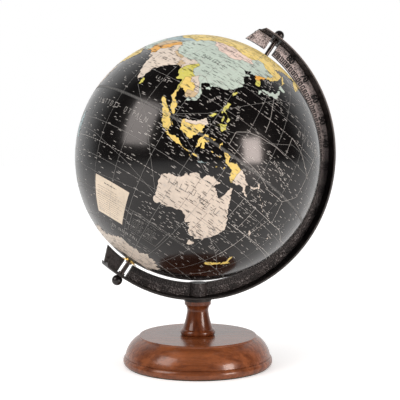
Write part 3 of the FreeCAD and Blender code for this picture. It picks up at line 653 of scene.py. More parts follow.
MAINLAND_BORDERS = lines_of("""49.0 46.3 47.0 48.5 47.5 50.3 51.5 51.6 55.0 51.0 60.0 50.8 61.5 53.0 66.0 54.6
 71.0 54.2 73.5 53.6 76.5 54.2 80.0 50.9 83.5 51.0 87.3 49.2 92.0 50.7 98.0 50.5 98.3 52.1 102.3 51.3 106.0
 50.3 113.0 49.6 116.7 49.8 119.9 52.8 120.8 53.3 125.0 53.0 127.5 50.0 130.8 48.9 131.0 47.8 134.8 48.4 133.2
 45.1 131.2 44.9 130.7 42.4 131.4 41.9 / 87.3 49.2 91.0 46.5 91.2 45.1 95.5 44.2 97.0 42.7 101.5 42.5 105.0
 41.6 109.5 42.4 111.9 43.7 112.0 45.1 115.5 45.4 119.7 46.7 118.0 48.0 116.7 49.8 / 87.3 49.2 85.5 48.0 83.0
 47.2 82.3 45.3 80.2 45.0 80.3 42.2 76.5 40.5 73.8 39.6 74.8 37.3 78.0 35.5 78.8 33.0 81.0 30.3 84.0 28.8 88.0
 27.9 89.5 28.2 91.7 27.7 94.0 29.2 97.3 28.3 98.7 27.5 97.6 24.6 99.0 22.3 101.2 21.3 102.2 22.5 105.3 23.2
 106.8 22.0 108.8 20.9 / 123.8 39.3 124.4 40.1 126.9 41.7 128.2 42.0 129.8 42.8 130.7 42.4 / 124.2 37.7 126.8
 37.9 127.3 38.3 129.2 38.8 / 97.3 28.3 95.0 26.0 93.3 24.0 92.6 21.5 91.6 20.4 / 88.9 20.9 89.0 23.5 88.2
 25.0 89.8 26.0 90.0 25.2 92.3 25.0 91.4 23.2 92.6 21.5 / 81.0 30.3 80.1 28.8 84.0 27.3 88.0 26.4 88.0 27.9 /
 67.8 23.2 71.0 24.6 70.0 27.8 74.5 30.5 74.4 33.0 77.0 34.8 78.0 35.5 / 61.6 24.6 63.3 27.0 61.0 29.5 66.3
 29.8 69.3 32.0 71.0 34.8 74.8 37.3 / 61.0 29.5 60.8 34.0 61.2 35.6 64.5 36.5 68.0 37.2 71.5 37.9 74.8 37.3 /
 53.2 37.3 57.0 38.2 61.2 35.6 / 52.4 41.8 56.0 41.3 56.0 45.0 61.0 44.2 66.5 42.0 70.0 42.1 74.0 43.2 80.3
 42.2 / 97.8 9.8 99.3 11.8 98.3 15.3 97.6 18.3 100.1 20.3 101.2 21.3 / 100.1 20.3 101.1 17.6 102.8 18.0 104.7
 16.5 105.5 14.4 102.6 13.7 102.9 11.8 102.5 11.2 / 102.2 22.5 103.0 20.8 104.8 19.6 106.5 16.6 107.5 14.8
 107.4 12.2 106.0 11.2 104.4 10.3 104.1 9.7 / 105.5 14.4 107.5 14.8 / 99.4 6.3 101.0 5.8 102.5 6.7 / 48.9 29.4
 47.7 31.0 45.5 34.0 44.8 37.2 44.8 39.7 48.0 39.5 49.6 38.2 / 48.6 29.5 47.0 29.2 42.0 31.1 39.2 32.1 36.5
 29.4 34.6 29.2 / 35.4 36.3 37.0 36.7 42.3 37.2 44.8 37.2 / 42.3 37.2 41.0 34.4 39.2 32.1 / 42.2 16.3 44.0
 17.4 52.0 19.0 53.6 16.0 / 52.0 19.0 55.0 20.0 55.5 24.0 56.8 25.3 / 27.5 60.0 30.0 64.0 28.8 69.0 30.8 70.9
 / 26.8 59.9 27.5 57.5 31.5 54.5 33.0 52.3 37.5 50.0 39.8 48.0 38.2 46.5 / 39.4 43.3 46.5 41.8 49.5 41.8 /
 19.6 55.0 23.5 54.0 23.7 51.5 22.5 49.0 18.0 49.5 14.5 51.0 14.2 54.3 / 14.5 51.0 12.2 50.2 13.5 48.6 10.0
 47.5 7.5 47.6 8.0 49.0 6.2 50.5 6.8 53.9 / -2.2 43.7 -1.5 43.2 3.7 42.4 / 7.5 47.6 7.0 45.8 7.6 43.5 / 13.2
 45.4 16.5 46.5 20.5 46.2 22.6 44.5 29.0 43.8 / -8.9 41.9 -6.5 41.8 -7.2 37.0 / 11.2 58.6 12.3 61.0 12.2 64.0
 16.0 67.5 20.5 69.0 29.0 69.3 / 24.2 65.9 23.7 68.0 20.5 69.0""")

MAINLAND_SEEDS = {
    "yellow": "100 60 20 62 45 57 55 60 125 63 47 24 95.5 21",
    "mint": "105 35 120 47 80 38 53 33 67 47 8 46.5 17 45", "slate": "64 39.5 26 65 30 48",
    "rose": "104 46 79 24 2 46 105.6 16.7 44.5 33", "orange": "127 40 69 27 15 64 10 51",
    "lime": "96 20 128 36.5 15.5 62 11 51.5 -8 40", "cream": "103 18.6 106 17.5 77 20 8.5 61 20 52.5 35 39 15 43",
    "tan": "84 28 90 24 105 12.6 65 33 -4 40 38.8 35 25 55.5",
    "yellow2": "101 15 102 4.5 48 17 57 21 47 42.5 22 40.5",
}

AFRICA = """-5.9 35.8 -2.0 35.1 3 36.9 10.0 37.3 11.1 33.5 15.3 32.3 20.0 31.0 20.2 32.7 25.0 31.6 32.2 31.3
 32.6 29.9 35.5 24.0 37.3 20.5 39.7 15.2 43.2 11.5 51.2 11.8 48.0 4.5 42.5 -1.0 39.5 -4.5 39.3 -8.5 40.6 -12.5
 40.5 -15.5 36.5 -18.5 35.3 -22.2 35.5 -24.1 32.8 -26.0 32.0 -29.0 27.5 -33.2 22.0 -34.1 18.4 -34.2 17.0 -29.2
 14.5 -22.5 11.8 -17.2 13.7 -11.0 12.2 -6.0 9.3 -1.5 9.5 3.5 7.0 4.4 4.3 6.3 -2.0 4.8 -7.7 4.4 -13.2 8.8 -16.7
 12.4 -17.4 14.7 -16.2 19.5 -17.0 21.5 -14.5 26.2 -9.8 29.5 -9.6 32.0 -6.8 34.1"""
AFRICA_BORDERS = lines_of("""-2.2 35.6 -1.3 32.2 -8.7 28.7 -8.7 27.5 -14.0 27.7 / -8.7 27.5 -4.8 25.0 3.2 19.2
 11.9 23.5 9.5 30.2 8.5 32.5 8.6 37.6 / 25.0 32.1 25.0 22.0 37.6 22.0 / 11.9 23.5 15.0 23.0 24.0 19.5 25.0
 22.0 / 24.0 19.5 22.5 13.0 24.0 8.8 27.5 5.0 31.0 3.7 35.9 4.6 41.9 3.9 41.6 -1.9 / 3.2 19.2 4.0 13.5 13.5
 13.6 15.5 7.5 24.0 8.8 / 15.5 7.5 18.5 4.5 27.5 5.0 / 8.6 3.8 11.5 6.5 13.5 13.6 / 1.5 5.6 1.0 11.0 4.0 13.5
 / 9.0 2.2 13.2 2.3 16.2 2.2 18.5 4.5 / 11.7 -5.8 16.2 -5.9 20.0 -7.0 21.8 -7.3 22.0 -11.2 24.0 -13.0 30.0
 -13.0 28.5 -8.5 29.5 -4.5 31.0 3.7 / 29.5 -4.5 30.5 -1.0 37.6 -3.0 39.8 -5.0 / 28.5 -8.5 32.9 -9.4 34.6 -11.6
 41.0 -10.5 / 22.0 -11.2 22.0 -17.6 11.2 -17.3 / 22.0 -17.6 25.2 -17.8 30.3 -15.6 34.5 -14.4 34.6 -11.6 / 25.2
 -17.8 29.3 -22.1 31.3 -22.4 32.8 -16.5 30.3 -15.6 / 29.3 -22.1 25.5 -25.6 20.8 -26.8 20.0 -22.0 21.0 -18.0 /
 20.0 -26.8 19.9 -28.5 15.9 -28.6 / 31.3 -22.4 32.0 -25.8 33.4 -26.9 / 36.0 18.0 36.5 14.3 35.0 10.0 35.9 4.6
 / 36.5 14.3 43.5 12.6 / -17.6 21.3 -13.0 21.3 -12.0 15.5 -17.5 16.0 / -12.0 15.5 -4.0 15.0 1.0 11.0 / -7.8
 3.9 -8.0 10.5 -11.5 12.5 -12.0 15.5 / -3.0 4.4 -2.8 11.0 -4.0 15.0""")
AFRICA_SEEDS = {
    "yellow": "25 -29 2 28 30 15 20 -4", "mint": "17 27 28 -20 40 8 -5 32", "rose": "-3 20 18 15 15 -12 36 1",
    "orange": "30 27 27 -15 7 9 -15 14", "tan": "10 17 24 -23 12 5 36 -15", "cream": "21 7 35 -6 -9 8 45 5",
    "slate": "29 -2 17 -24 -5 12", "lime": "-13 24 20 -15 0 8 12 0",
}

NORTH_AMERICA = """-168 65.6 -161.5 66.3 -166.5 68.3 -156.5 71.3 -141 69.7 -128 70.0 -116 69.0 -108 68.0 -96
 68.2 -94 71.8 -90 69.5 -82 69.5 -85.5 66.5 -94 61.5 -94.5 58.8 -88 56.5 -82.2 55.2 -81 51.5 -79 52.0 -79 54.8
 -77 57.5 -78 62.4 -72 61.5 -68 58.5 -64.5 60.3 -61 56.5 -55.8 52.5 -60 50.2 -66.5 50.2 -71 47.0 -65 49.0
 -64.8 46.5 -61 45.5 -66 43.6 -67 44.8 -70.7 43.0 -70 41.6 -74 40.5 -76 37.0 -75.8 35.2 -81 31.8 -80.2 27.0
 -81 25.2 -82.8 28.5 -84 30.1 -89.5 30.2 -94 29.5 -97.3 27.5 -97.7 22.5 -95.5 18.6 -91.5 18.5 -90.3 21.1 -87
 21.4 -88 16.5 -83.3 15.0 -83.7 11.0 -81.5 9.0 -79.5 9.6 -77.2 8.5 -78.2 7.6 -80.2 8.2 -83 8.3 -85.8 10.3
 -87.6 13.0 -92.3 14.5 -96 15.8 -101.5 17.6 -105.6 20.4 -106 23.0 -109.4 26.0 -112.8 30.0 -114.7 31.5 -111
 26.0 -109.5 23.1 -112 25.0 -115 28.0 -117.2 32.7 -120.6 34.6 -124.2 40.3 -124 46.5 -123 49.0 -128 51.5 -133
 56.0 -138 59.0 -146 60.7 -151.5 59.3 -158 56.3 -164.5 54.6 -158.5 58.6 -164.5 60.5 -164.8 63.0 -161 64.5"""
NORTH_AMERICA_BORDERS = lines_of("""-123.6 49.0 -95 49.0 -89 48.0 -83 46.0 -82.5 42.5 -79 43.3 -75 45.0 -71
 45.2 -69 47.3 -67 45.0 -66.6 44.0 / -141 70.3 -141 60.3 -135 59.5 -130 56.0 -130.8 54.2 / -117.8 32.5 -111
 31.3 -106.5 31.8 -101 29.6 -96.5 25.9 / -92.5 13.8 -91 17.3 -87.6 18.5 / -85 49 -84 43.5 -87.5 42 -87 46
 -91.5 47 -85 49""")
NORTH_AMERICA_SEEDS = {
    "rose": "-105 58 -75 47.5", "mint": "-100 40", "yellow": "-103 25", "orange": "-86 13", "tan": "-150 66",
}
SOUTH_AMERICA = """-77.3 8.6 -75.5 10.6 -71.7 12.3 -71.8 10.8 -68 11.5 -61.9 10.7 -60 8.5 -57 6.0 -52 4.8 -50
 1.0 -48 -1.0 -41 -2.9 -35.3 -5.2 -34.9 -8.0 -38.9 -13.0 -39.2 -17.8 -41 -22.0 -44.5 -23.1 -48.5 -26.0 -48.8
 -28.5 -53.4 -33.7 -57.0 -34.5 -58.4 -34.0 -57.2 -36.3 -58 -38.2 -62.2 -39.0 -65 -41.0 -63.8 -42.6 -67.5 -46.0
 -65.9 -48.0 -69 -51.0 -68.4 -52.4 -65.2 -54.7 -69 -55.3 -74.5 -52.0 -75.5 -47.0 -73.0 -42.0 -73.5 -37.5 -71.5
 -30.5 -70.2 -20.0 -72.5 -17.0 -76.3 -13.8 -79.8 -7.5 -81.3 -5.0 -80 -2.8 -80.8 -1.0 -79 1.5 -77.3 4.0 -77.9
 7.2"""
SOUTH_AMERICA_BORDERS = lines_of("""-71.0 12.6 -72.4 7.4 -67.5 6.2 -67 1.2 -69.9 -4.2 / -67 1.2 -64 2.3 -60.5
 5.0 -57 2.0 -52.0 4.0 -51.0 5.2 / -60.5 5.0 -59.3 9.2 / -69.9 -4.2 -73.5 -7.5 -70.5 -11.0 -65.4 -10.0 -60.2
 -16.2 -58 -20.0 -55.8 -22.3 -54.5 -25.5 -53.7 -27.3 -57.6 -30.2 -53.3 -33.3 -52.7 -34.6 / -81.0 -3.3 -78.5
 -4.8 -75.2 -1.0 -77.5 0.6 -79.5 1.8 / -75.2 -1.0 -69.9 -4.2 / -70.5 -11.0 -69 -15.5 -70.5 -18.3 -71.3 -18.3 /
 -69.5 -17.5 -68 -22.8 -62.8 -22.0 -58 -20 / -68 -22.8 -69.8 -30 -71 -40 -72 -50 -68.0 -52.3 -67.2 -52.4 /
 -57.6 -30.2 -58.6 -34.8 / -62.8 -22.0 -57.8 -25.3 -56 -27.3 -54.5 -25.5""")
SOUTH_AMERICA_SEEDS = {
    "cream": "-50 -10 -72.5 -30", "orange": "-73 4", "yellow": "-65 7 -66 -35", "mint": "-75 -10 -56 3.5",
    "rose": "-64 -18", "tan": "-78.5 -2 -56 -33", "lime": "-59 -23",
}

AUSTRALIA = """113.7 -22.6 114.2 -21.8 115.5 -21.5 116.8 -20.6 118.5 -20.3 119.9 -20.0 121.2 -19.5 122.2 -18.2
 122.2 -17.2 122.9 -16.4 123.6 -17.2 123.8 -16.2 124.6 -15.4 125.3 -14.6 126.1 -14.1 127.0 -13.9 128.1 -14.7
 128.4 -14.9 129.5 -14.9 129.8 -13.6 130.7 -12.4 131.3 -12.2 132.6 -12.0 132.7 -11.3 134.2 -11.9 135.3 -12.2
 136.6 -11.9 136.9 -12.3 136.0 -13.4 135.8 -14.8 137.0 -15.8 139.0 -17.0 140.3 -17.7 141.0 -17.0 141.5 -15.5
 141.6 -14.2 141.7 -12.7 142.2 -11.1 142.7 -10.8 143.2 -12.4 143.7 -14.2 145.0 -14.8 145.4 -16.2 146.1 -17.7
 147.2 -19.3 148.8 -20.3 149.6 -22.0 150.7 -22.6 151.0 -23.6 152.5 -24.9 153.1 -26.2 153.4 -28.2 153.0 -30.9
 152.0 -32.7 150.9 -34.5 150.1 -36.4 149.9 -37.5 147.8 -37.9 146.3 -39.0 144.9 -38.2 143.5 -38.8 141.3 -38.3
 140.0 -37.3 139.2 -35.8 138.4 -35.6 138.3 -34.5 137.7 -35.2 137.3 -35.0 137.8 -33.2 137.2 -33.8 135.8 -34.9
 135.1 -34.5 134.2 -32.8 132.5 -32.0 131.2 -31.5 129.0 -31.7 126.2 -32.3 124.0 -33.2 123.5 -33.9 120.0 -33.9
 118.0 -35.0 115.8 -34.4 115.1 -33.7 115.8 -32.2 115.0 -30.2 114.2 -27.8 113.4 -26.1 113.7 -24.2"""
AUSTRALIA_BORDERS = lines_of("""129 -14 129 -32.5 / 129 -26 141 -26 / 138 -15.8 138 -26 / 141 -26 141 -39 /
 141 -29 149 -29 154.2 -28.1 / 141 -34 144.5 -35.5 147.5 -36.1 150.9 -37.8""")
ANTARCTICA = """-180 -78.2 -165 -78.3 -155 -77.2 -140 -75.2 -125 -74 -110 -74.5 -100 -72.8 -85 -73 -75 -72.5
 -67 -68 -60 -63.6 -57 -63.5 -61 -67 -61 -74 -50 -77.5 -35 -78 -25 -75 -12 -71.5 5 -69.8 20 -70 35 -69 45
 -67.6 55 -66 65 -67.6 73 -69.5 80 -67.8 90 -66.6 100 -65.8 110 -66.2 120 -66.8 130 -66.2 140 -66.8 150 -68.5
 160 -70 170 -71.5 168 -75 165 -78 180 -78.2 180 -80.6 -180 -80.6"""
NEW_GUINEA = """131.0 -0.8 132.4 -0.4 134.0 -0.8 134.3 -2.5 135.1 -3.3 136.5 -2.2 137.8 -1.5 139.8 -2.3 141.0
 -2.6 144.0 -3.8 145.7 -5.2 147.8 -6.0 146.9 -6.8 148.5 -9.0 150.8 -10.3 149.0 -10.3 147.1 -9.5 145.5 -8.0
 143.8 -8.0 143.3 -8.9 141.0 -9.1 138.9 -8.3 138.7 -7.2 138.0 -5.6 135.5 -4.4 133.5 -3.9 132.8 -2.8 133.9 -2.2
 132.0 -2.1 131.0 -1.3"""
BORNEO = """109.0 1.5 109.6 2.0 111.2 2.4 113.0 3.2 114.6 4.6 116.1 6.2 116.9 7.0 118.0 6.0 119.2 5.2 117.9
 4.2 118.0 2.3 119.0 1.0 117.5 0.5 117.4 -0.9 116.3 -1.8 116.5 -3.0 115.9 -4.0 114.6 -4.0 113.0 -3.2 111.8
 -3.4 110.2 -2.9 110.1 -1.4 109.2 -0.4 108.9 0.6"""

# colour: outlines of islands and other land of one colour
ISLANDS = {
    "yellow": lines_of("""95.3 5.6 97.5 5.2 98.7 3.8 100.4 2.3 102.0 1.0 103.5 0.2 103.6 -0.9 104.6 -1.8 105.9
        -3.0 106.0 -5.6 104.6 -5.8 102.3 -4.0 100.9 -2.2 100.3 -0.8 99.0 0.5 98.6 1.8 97.0 3.2 95.6 4.5 /
        105.2 -6.8 106.0 -5.9 108.4 -6.6 110.8 -6.5 112.7 -6.9 114.5 -7.7 114.5 -8.7 111.5 -8.3 108.5 -7.8
        106.5 -7.4 / 119.9 0.6 121.0 1.3 123.4 0.95 125.1 1.65 124.5 0.45 121.4 0.45 120.3 0.0 120.2 -1.1
        121.7 -0.9 123.3 -0.75 122.0 -1.7 121.5 -1.95 122.4 -3.3 122.9 -4.4 121.6 -4.8 121.4 -3.7 120.9 -2.7
        120.4 -3.2 120.4 -5.5 119.5 -5.4 119.5 -3.5 118.9 -2.8 119.4 -1.0 119.7 -0.1 / 127.5 1.0 127.9 2.1
        128.6 1.4 128.0 0.5 128.6 -0.6 127.8 -0.3 / 128.0 -3.1 130.7 -3.2 130.5 -3.7 128.2 -3.4 / 126.1 -3.3
        127.1 -3.5 126.5 -3.8 / 119.9 -8.5 122.8 -8.4 121.5 -8.9 / 116.8 -8.6 118.9 -8.4 118.3 -8.9 / 119.1
        -9.5 120.7 -10.1 120.0 -10.1 / 114.6 -8.2 115.6 -8.3 115.2 -8.7 / 116.0 -8.4 116.7 -8.5 116.3 -8.9 /
        134.2 -6.0 134.7 -5.7 134.5 -6.8 / 105.3 -1.7 106.7 -2.8 106 -2.6 / 131.2 -7.6 131.7 -7.2 131.3 -8.0 /
        142.0 46.0 142.2 48.5 142.0 51.5 142.7 54.3 143.3 52.5 143.2 50.0 144.6 48.8 142.8 47.2 / 52 71.3 56.5
        74.5 68.0 76.8 60.0 76.0 54.5 73.0 57.3 70.8 / 95.0 79.2 99.0 79.8 105 78.5 100 78.0 / 137.5 75.5
        145.0 75.6 150.0 75.0 140.0 74.3 / 178.8 71.0 181.5 71.5 181.0 70.9 / 172.8 -34.5 174.7 -36.5 178.4
        -37.7 177.0 -39.4 175.2 -41.5 173.9 -39.4 174.8 -38.0 / 172.7 -40.6 174.2 -41.5 172.8 -43.6 170.7
        -46.0 168.5 -46.6 166.6 -45.9 168.3 -44.2 171.2 -42.4 / 11 79.3 20 80.0 24 78.5 16.5 76.7 / -24.0 65.3
        -22.5 66.4 -16.0 66.4 -13.6 65.0 -18.5 63.4 -22.5 63.9"""),
    "lime": lines_of("""120.4 16.2 120.6 18.4 122.2 18.4 122.2 16.5 121.6 15.0 121.8 14.0 124.1 12.8 123.4
        13.2 122.0 13.6 120.7 13.9 120.3 14.8 / 122.1 7.0 123.6 8.6 125.4 9.7 126.5 7.5 125.5 5.8 124.2 6.4
        123.5 7.5 / 124.4 12.5 125.4 12.3 125.3 10.4 124.6 10.5 / 122.0 11.8 123.1 11.4 123.2 9.2 122.5 10.0 /
        120.4 13.4 121.4 13.2 121.2 12.3 / 117.2 8.4 119.5 11.2 119.2 10.3 118.0 8.9 / 120.1 23.1 121.0 25.0
        121.9 25.0 121.4 23.2 120.8 22.0 / 79.9 8.0 80.2 9.7 81.8 7.6 81.0 6.2 80.1 6.3 / -84.9 21.9 -82.5
        23.1 -77.5 21.9 -74.2 20.2 -77.7 19.9 -78 20.7 -82 22.3"""),
    "mint": lines_of("""129.8 33.2 130.9 33.9 131.9 33.2 131.4 31.4 130.3 31.3 130.1 32.4 / 132.2 33.4 134.5
        34.2 134.0 33.3 133.0 32.8 / 131.0 34.3 132.8 35.4 135.9 35.7 136.8 37.3 138.5 37.3 139.8 38.8 140.1
        40.6 141.3 41.4 141.9 39.5 140.9 38.0 140.7 35.7 139.8 35.1 138.7 34.8 136.9 34.6 135.8 33.5 135.1
        34.5 133.0 34.3 / 140.0 41.6 141.0 42.5 140.4 43.3 141.7 45.4 143.3 44.3 145.4 43.4 143.3 42.1 141.6
        42.6 / 108.7 19.2 109.6 20.0 110.9 19.9 110.4 18.7 109.3 18.3 / -10.0 52.0 -6.3 52.3 -6.0 54.5 -8.0
        55.2 -10.0 53.8"""),
    "slate": lines_of("""123.6 -10.3 124.9 -9.0 127.2 -8.4 125.8 -9.3 124.3 -10.2 / 49.2 -12.1 50.3 -15.8 47.2
        -24.9 44.0 -24.9 43.3 -22.0 44.3 -16.3"""),
    "cream": lines_of("""144.7 -40.7 146.5 -41.1 148.3 -40.9 148.2 -42.2 147.3 -43.5 146.0 -43.5 145.3 -42.3 /
        148.4 -5.7 150.3 -5.5 151.6 -4.2 152.3 -4.3 151.5 -5.6 149.5 -6.3 / 150.9 -2.6 152.8 -3.8 153.0 -4.8
        152.0 -3.6 / 154.6 -5.5 155.9 -6.8 155.3 -6.3 / 156.6 -7.0 157.6 -7.6 157.0 -7.9 / 158.5 -7.6 159.9
        -8.5 159.2 -8.2 / 159.6 -9.3 160.8 -9.8 160.0 -9.9 / 161.3 -10.3 162.3 -10.8 161.7 -10.8 / 164.1 -20.2
        166.9 -22.2 166.3 -22.3 164.4 -20.9 / 177.4 -17.6 178.6 -17.8 178.0 -18.2 / 178.8 -16.7 179.9 -16.4
        179.0 -16.9 / 166.7 -14.8 167.2 -15.5 166.8 -15.5 / 167.4 -16.1 168.2 -16.6 167.7 -16.5 / 168.2 -17.6
        168.6 -17.8 168.3 -17.9 / -44 60.0 -42.0 62.8 -37.5 65.8 -24.5 69.2 -21.0 72.0 -19.5 76.5 -16.0 80.0
        -30 80.6 -55 80.6 -67.5 80.0 -72.5 78.3 -68.0 76.0 -60.0 75.7 -54.5 71.5 -53.5 67.5 -51.5 64.0 -48.0
        61.0 / 68.8 -49.0 70.2 -49.2 69.4 -49.7"""),
    "rose": lines_of("""-5.6 50.1 1.3 51.2 1.6 52.8 -0.2 54.0 -2.0 57.5 -3.2 58.6 -5.6 57.5 -4.7 54.8 -3.1
        54.1 -5.0 51.8 -3.0 51.3 / -80 73.7 -72 71.2 -62 66.5 -66 62.0 -78 64.5 -73 67.8 -88 70.5 -89 72.5 /
        -117 71 -105 73.3 -101 69.3 -113 68.5 / -90 76.5 -78 76.5 -68 80.2 -85 80.4 -95 80 / -55.5 47.0 -53.2
        48.5 -55.5 51.4 -59.2 47.8 / -125 73.5 -118 75.8 -116 73.0 -123 71.3"""),
    "orange": lines_of("""-74.4 18.5 -73 19.9 -69.9 19.7 -68.4 18.6 -71 17.9 / 8.3 39.0 8.5 41.0 9.6 41.0 9.5
        39.2 / 12.6 38.1 15.5 38.2 15.1 36.8 / 32.5 34.9 34.3 35.5 33.5 34.7 / 23.7 35.5 26.2 35.2 24.8 35.0"""),
    "tan": lines_of("""-155.9 20.2 -154.9 19.5 -155.7 19.0 / -158.2 21.6 -157.7 21.3 -158.1 21.3 / -61 -51.4
        -58 -51.5 -59.5 -52.2"""),
}

GRID = 2.5
FINE = 0.4


def pairs(text):
    numbers = [float(word) for word in text.split()]
    return list(zip(numbers[::2], numbers[1::2]))


def roughen(points, closed, dice, amount):
    """Halves each run until it is short, pushing every new point a little off its line."""
    out = []
    runs = zip(points, points[1:] + points[:1]) if closed else zip(points, points[1:])
    for start, end in runs:
        line = [start, end]
        while math.dist(line[0], line[1]) > FINE:
            longer = [line[0]]
            for a, b in zip(line, line[1:]):
                span = math.dist(a, b)
                push = dice.uniform(-amount, amount) if span > 0.2 else 0.0
                longer.append(((a[0] + b[0]) / 2 - (b[1] - a[1]) * push, (a[1] + b[1]) / 2 + (b[0] - a[0]) * push))
                longer.append(b)
            line = longer
        out += line[:-1]
    return out if closed else out + [points[-1]]


def inside(point, ring):
    x, y = point
    hit = False
    for (ax, ay), (bx, by) in zip(ring, ring[1:] + ring[:1]):
        if (ay > y) != (by > y) and x < (bx - ax) * (y - ay) / (by - ay) + ax:
            hit = not hit
    return hit


def land_regions(coast, borders, dice, amount=0.24, straight=False):
    """Cuts a coast by its borders. Gives (points, [triangles of each region])."""
    ring = roughen(pairs(coast), True, dice, amount)
    lines = [roughen(pairs(b), False, dice, 0.0 if straight else 0.09) for b in borders]
    points = [Vector(p) for p in ring]
    edges = [(k, (k + 1) % len(ring)) for k in range(len(ring))]
    for line in lines:
        first = len(points)
        points += [Vector(p) for p in line]
        edges += [(first + k, first + k + 1) for k in range(len(line) - 1)]
    west, east = min(p.x for p in points), max(p.x for p in points)
    south, north = min(p.y for p in points), max(p.y for p in points)
    y = math.floor(south / GRID) * GRID
    while y < north:
        step = GRID / max(0.5, math.cos(math.radians(y)))
        x = west + step * 0.37
        while x < east:
            points.append(Vector((x, y + 0.113)))
            x += step
        y += GRID
    verts, all_edges, tris, _, edge_from, _ = delaunay_2d_cdt(points, edges, [], 0, 1e-5, True)
    walls = {tuple(sorted(e)) for e, source in zip(all_edges, edge_from) if source}
    beside = {}
    for k, tri in enumerate(tris):
        for a, b in ((tri[0], tri[1]), (tri[1], tri[2]), (tri[2], tri[0])):
            beside.setdefault(tuple(sorted((a, b))), []).append(k)
    region = [-1] * len(tris)
    groups = []
    for start in range(len(tris)):
        if region[start] >= 0:
            continue
        region[start], group, queue = len(groups), [], [start]
        while queue:
            k = queue.pop()
            group.append(k)
            tri = tris[k]
            for a, b in ((tri[0], tri[1]), (tri[1], tri[2]), (tri[2], tri[0])):
                side = tuple(sorted((a, b)))
                if side in walls:
                    continue
                for other in beside[side]:
                    if region[other] < 0:
                        region[other] = region[start]
                        queue.append(other)
        groups.append([tris[k] for k in group])
    kept = []
    for group in groups:
        big = max(group, key=lambda t: abs((verts[t[1]] - verts[t[0]]).cross(verts[t[2]] - verts[t[0]])))
        middle = (verts[big[0]] + verts[big[1]] + verts[big[2]]) / 3
        if inside((middle.x, middle.y), ring):
            kept.append(group)
    return [(v.x, v.y) for v in verts], kept, ring, lines


def holds(tri, verts, seed):
    return inside(seed, [verts[k] for k in tri])


LAYER = {"land": 0.10 * MM, "net": 0.13 * MM, "border": 0.15 * MM, "print": 0.17 * MM}
sheets = {colour: ([], []) for colour in LAND_COLOURS}
border_lines = []


def lay(colour, verts, tris):
    points, faces = sheets[colour]
    seen = {}
    for tri in tris:
        face = []
        for k in tri:
            if k not in seen:
                seen[k] = len(points)
                points.append(on_ball(*verts[k], LAYER["land"]))
            face.append(seen[k])
        (ax, ay), (bx, by), (cx, cy) = (verts[k] for k in tri)
        faces.append(face if (bx - ax) * (cy - ay) > (by - ay) * (cx - ax) else face[::-1])


def lay_country(coast, borders, seeds, otherwise, seas=(), straight=False, number=1):
    dice = random.Random(number)
    verts, groups, ring, lines = land_regions(coast, [*borders, *seas], dice, straight=straight)
    wanted = [(colour.rstrip("2"), seed) for colour, text in seeds.items() for seed in pairs(text)]
    water = [tuple(sum(c) / len(c) for c in zip(*pairs(sea)[:-1])) for sea in seas]
    for group in groups:
        colour = otherwise
        if any(holds(tri, verts, w) for w in water for tri in group):
            continue
        for name, seed in wanted:
            if any(holds(tri, verts, seed) for tri in group):
                colour = name
        lay(colour, verts, group)
    for line in lines[:len(borders)]:
        border_lines.extend([run for run in clip(line, ring)])


def clip(line, ring):
    runs, run = [], []
    for point in line:
        if inside(point, ring):
            run.append(point)
        else:
            if len(run) > 1:
                runs.append(run)
            run = []
    if len(run) > 1:
        runs.append(run)
    return runs


BLACK_SEA = """28.2 41.4 31.3 41.2 35.0 42.0 38.5 41.0 41.5 41.6 40.0 43.5 37.5 44.7 37.0 46.8 35.0 45.5 33.5
 44.5 32.5 46.0 30.7 46.3 28.7 44.0 28.2 41.4"""
CASPIAN = """49.2 37.6 53.8 37.0 53.8 39.5 53.0 41.5 51.3 43.2 53.0 45.3 52.0 46.8 48.5 46.0 47.0 43.5 49.5
 40.5 49.2 37.6"""
lay_country(MAINLAND, MAINLAND_BORDERS, MAINLAND_SEEDS, "mint", [BLACK_SEA, CASPIAN], number=4)
lay_country(AFRICA, AFRICA_BORDERS, AFRICA_SEEDS, "tan", number=5)
lay_country(NORTH_AMERICA, NORTH_AMERICA_BORDERS, NORTH_AMERICA_SEEDS, "rose", number=6)
lay_country(SOUTH_AMERICA, SOUTH_AMERICA_BORDERS, SOUTH_AMERICA_SEEDS, "cream", number=7)
lay_country(AUSTRALIA, AUSTRALIA_BORDERS, {}, "cream", straight=True, number=8)
lay_country(ANTARCTICA, [], {}, "cream", number=9)
lay_country(NEW_GUINEA, ["141.0 -2.0 141.0 -9.6"], {"cream": "144 -6"}, "yellow", number=10)
lay_country(BORNEO, ["109.2 2.3 110.5 0.9 112.5 1.5 114.7 2.2 115.6 3.6 118.4 4.2"],
            {"cream": "113.5 2.9 116.5 5"}, "yellow", number=11)
for k, (colour, outlines) in enumerate(ISLANDS.items()):
    for j, outline in enumerate(outlines):
        lay_country(outline, [], {}, colour, number=100 * k + j)

land_meshes = {}
for colour, (points, faces) in sheets.items():
    flat = mesh_of("land_" + colour, points, faces)
    land_meshes[colour] = flat.copy()
    flat.transform(GLOBE)
    lie_round(flat)
    finish_piece("land_" + colour, flat, LAND[colour], "globe")


def ribbon(runs, width, lift, mat, name, body="globe"):
    """Draws lines of even width on the ball, through points of longitude and latitude."""
    points, faces = [], []
    for run in runs:
        at = [Vector(on_ball(*p, lift)) for p in run]
        for k, here in enumerate(at):
            ahead = at[min(k + 1, len(at) - 1)] - at[max(k - 1, 0)]
            across = here.normalized().cross(ahead).normalized() * (width / 2)
            points += [tuple(here - across), tuple(here + across)]
            if k:
                n = len(points)
                faces.append((n - 4, n - 2, n - 1, n - 3))
    mesh = mesh_of(name, points, faces, GLOBE)
    return finish_piece(name, mesh, mat, body)


ribbon(border_lines, 0.32 * MM, LAYER["border"], INK_BORDER, "country_borders")


def arc(a, b, step=2.0):
    count = max(1, math.ceil(math.dist(a, b) / step))
    return [(a[0] + (b[0] - a[0]) * k / count, a[1] + (b[1] - a[1]) * k / count) for k in range(count + 1)]


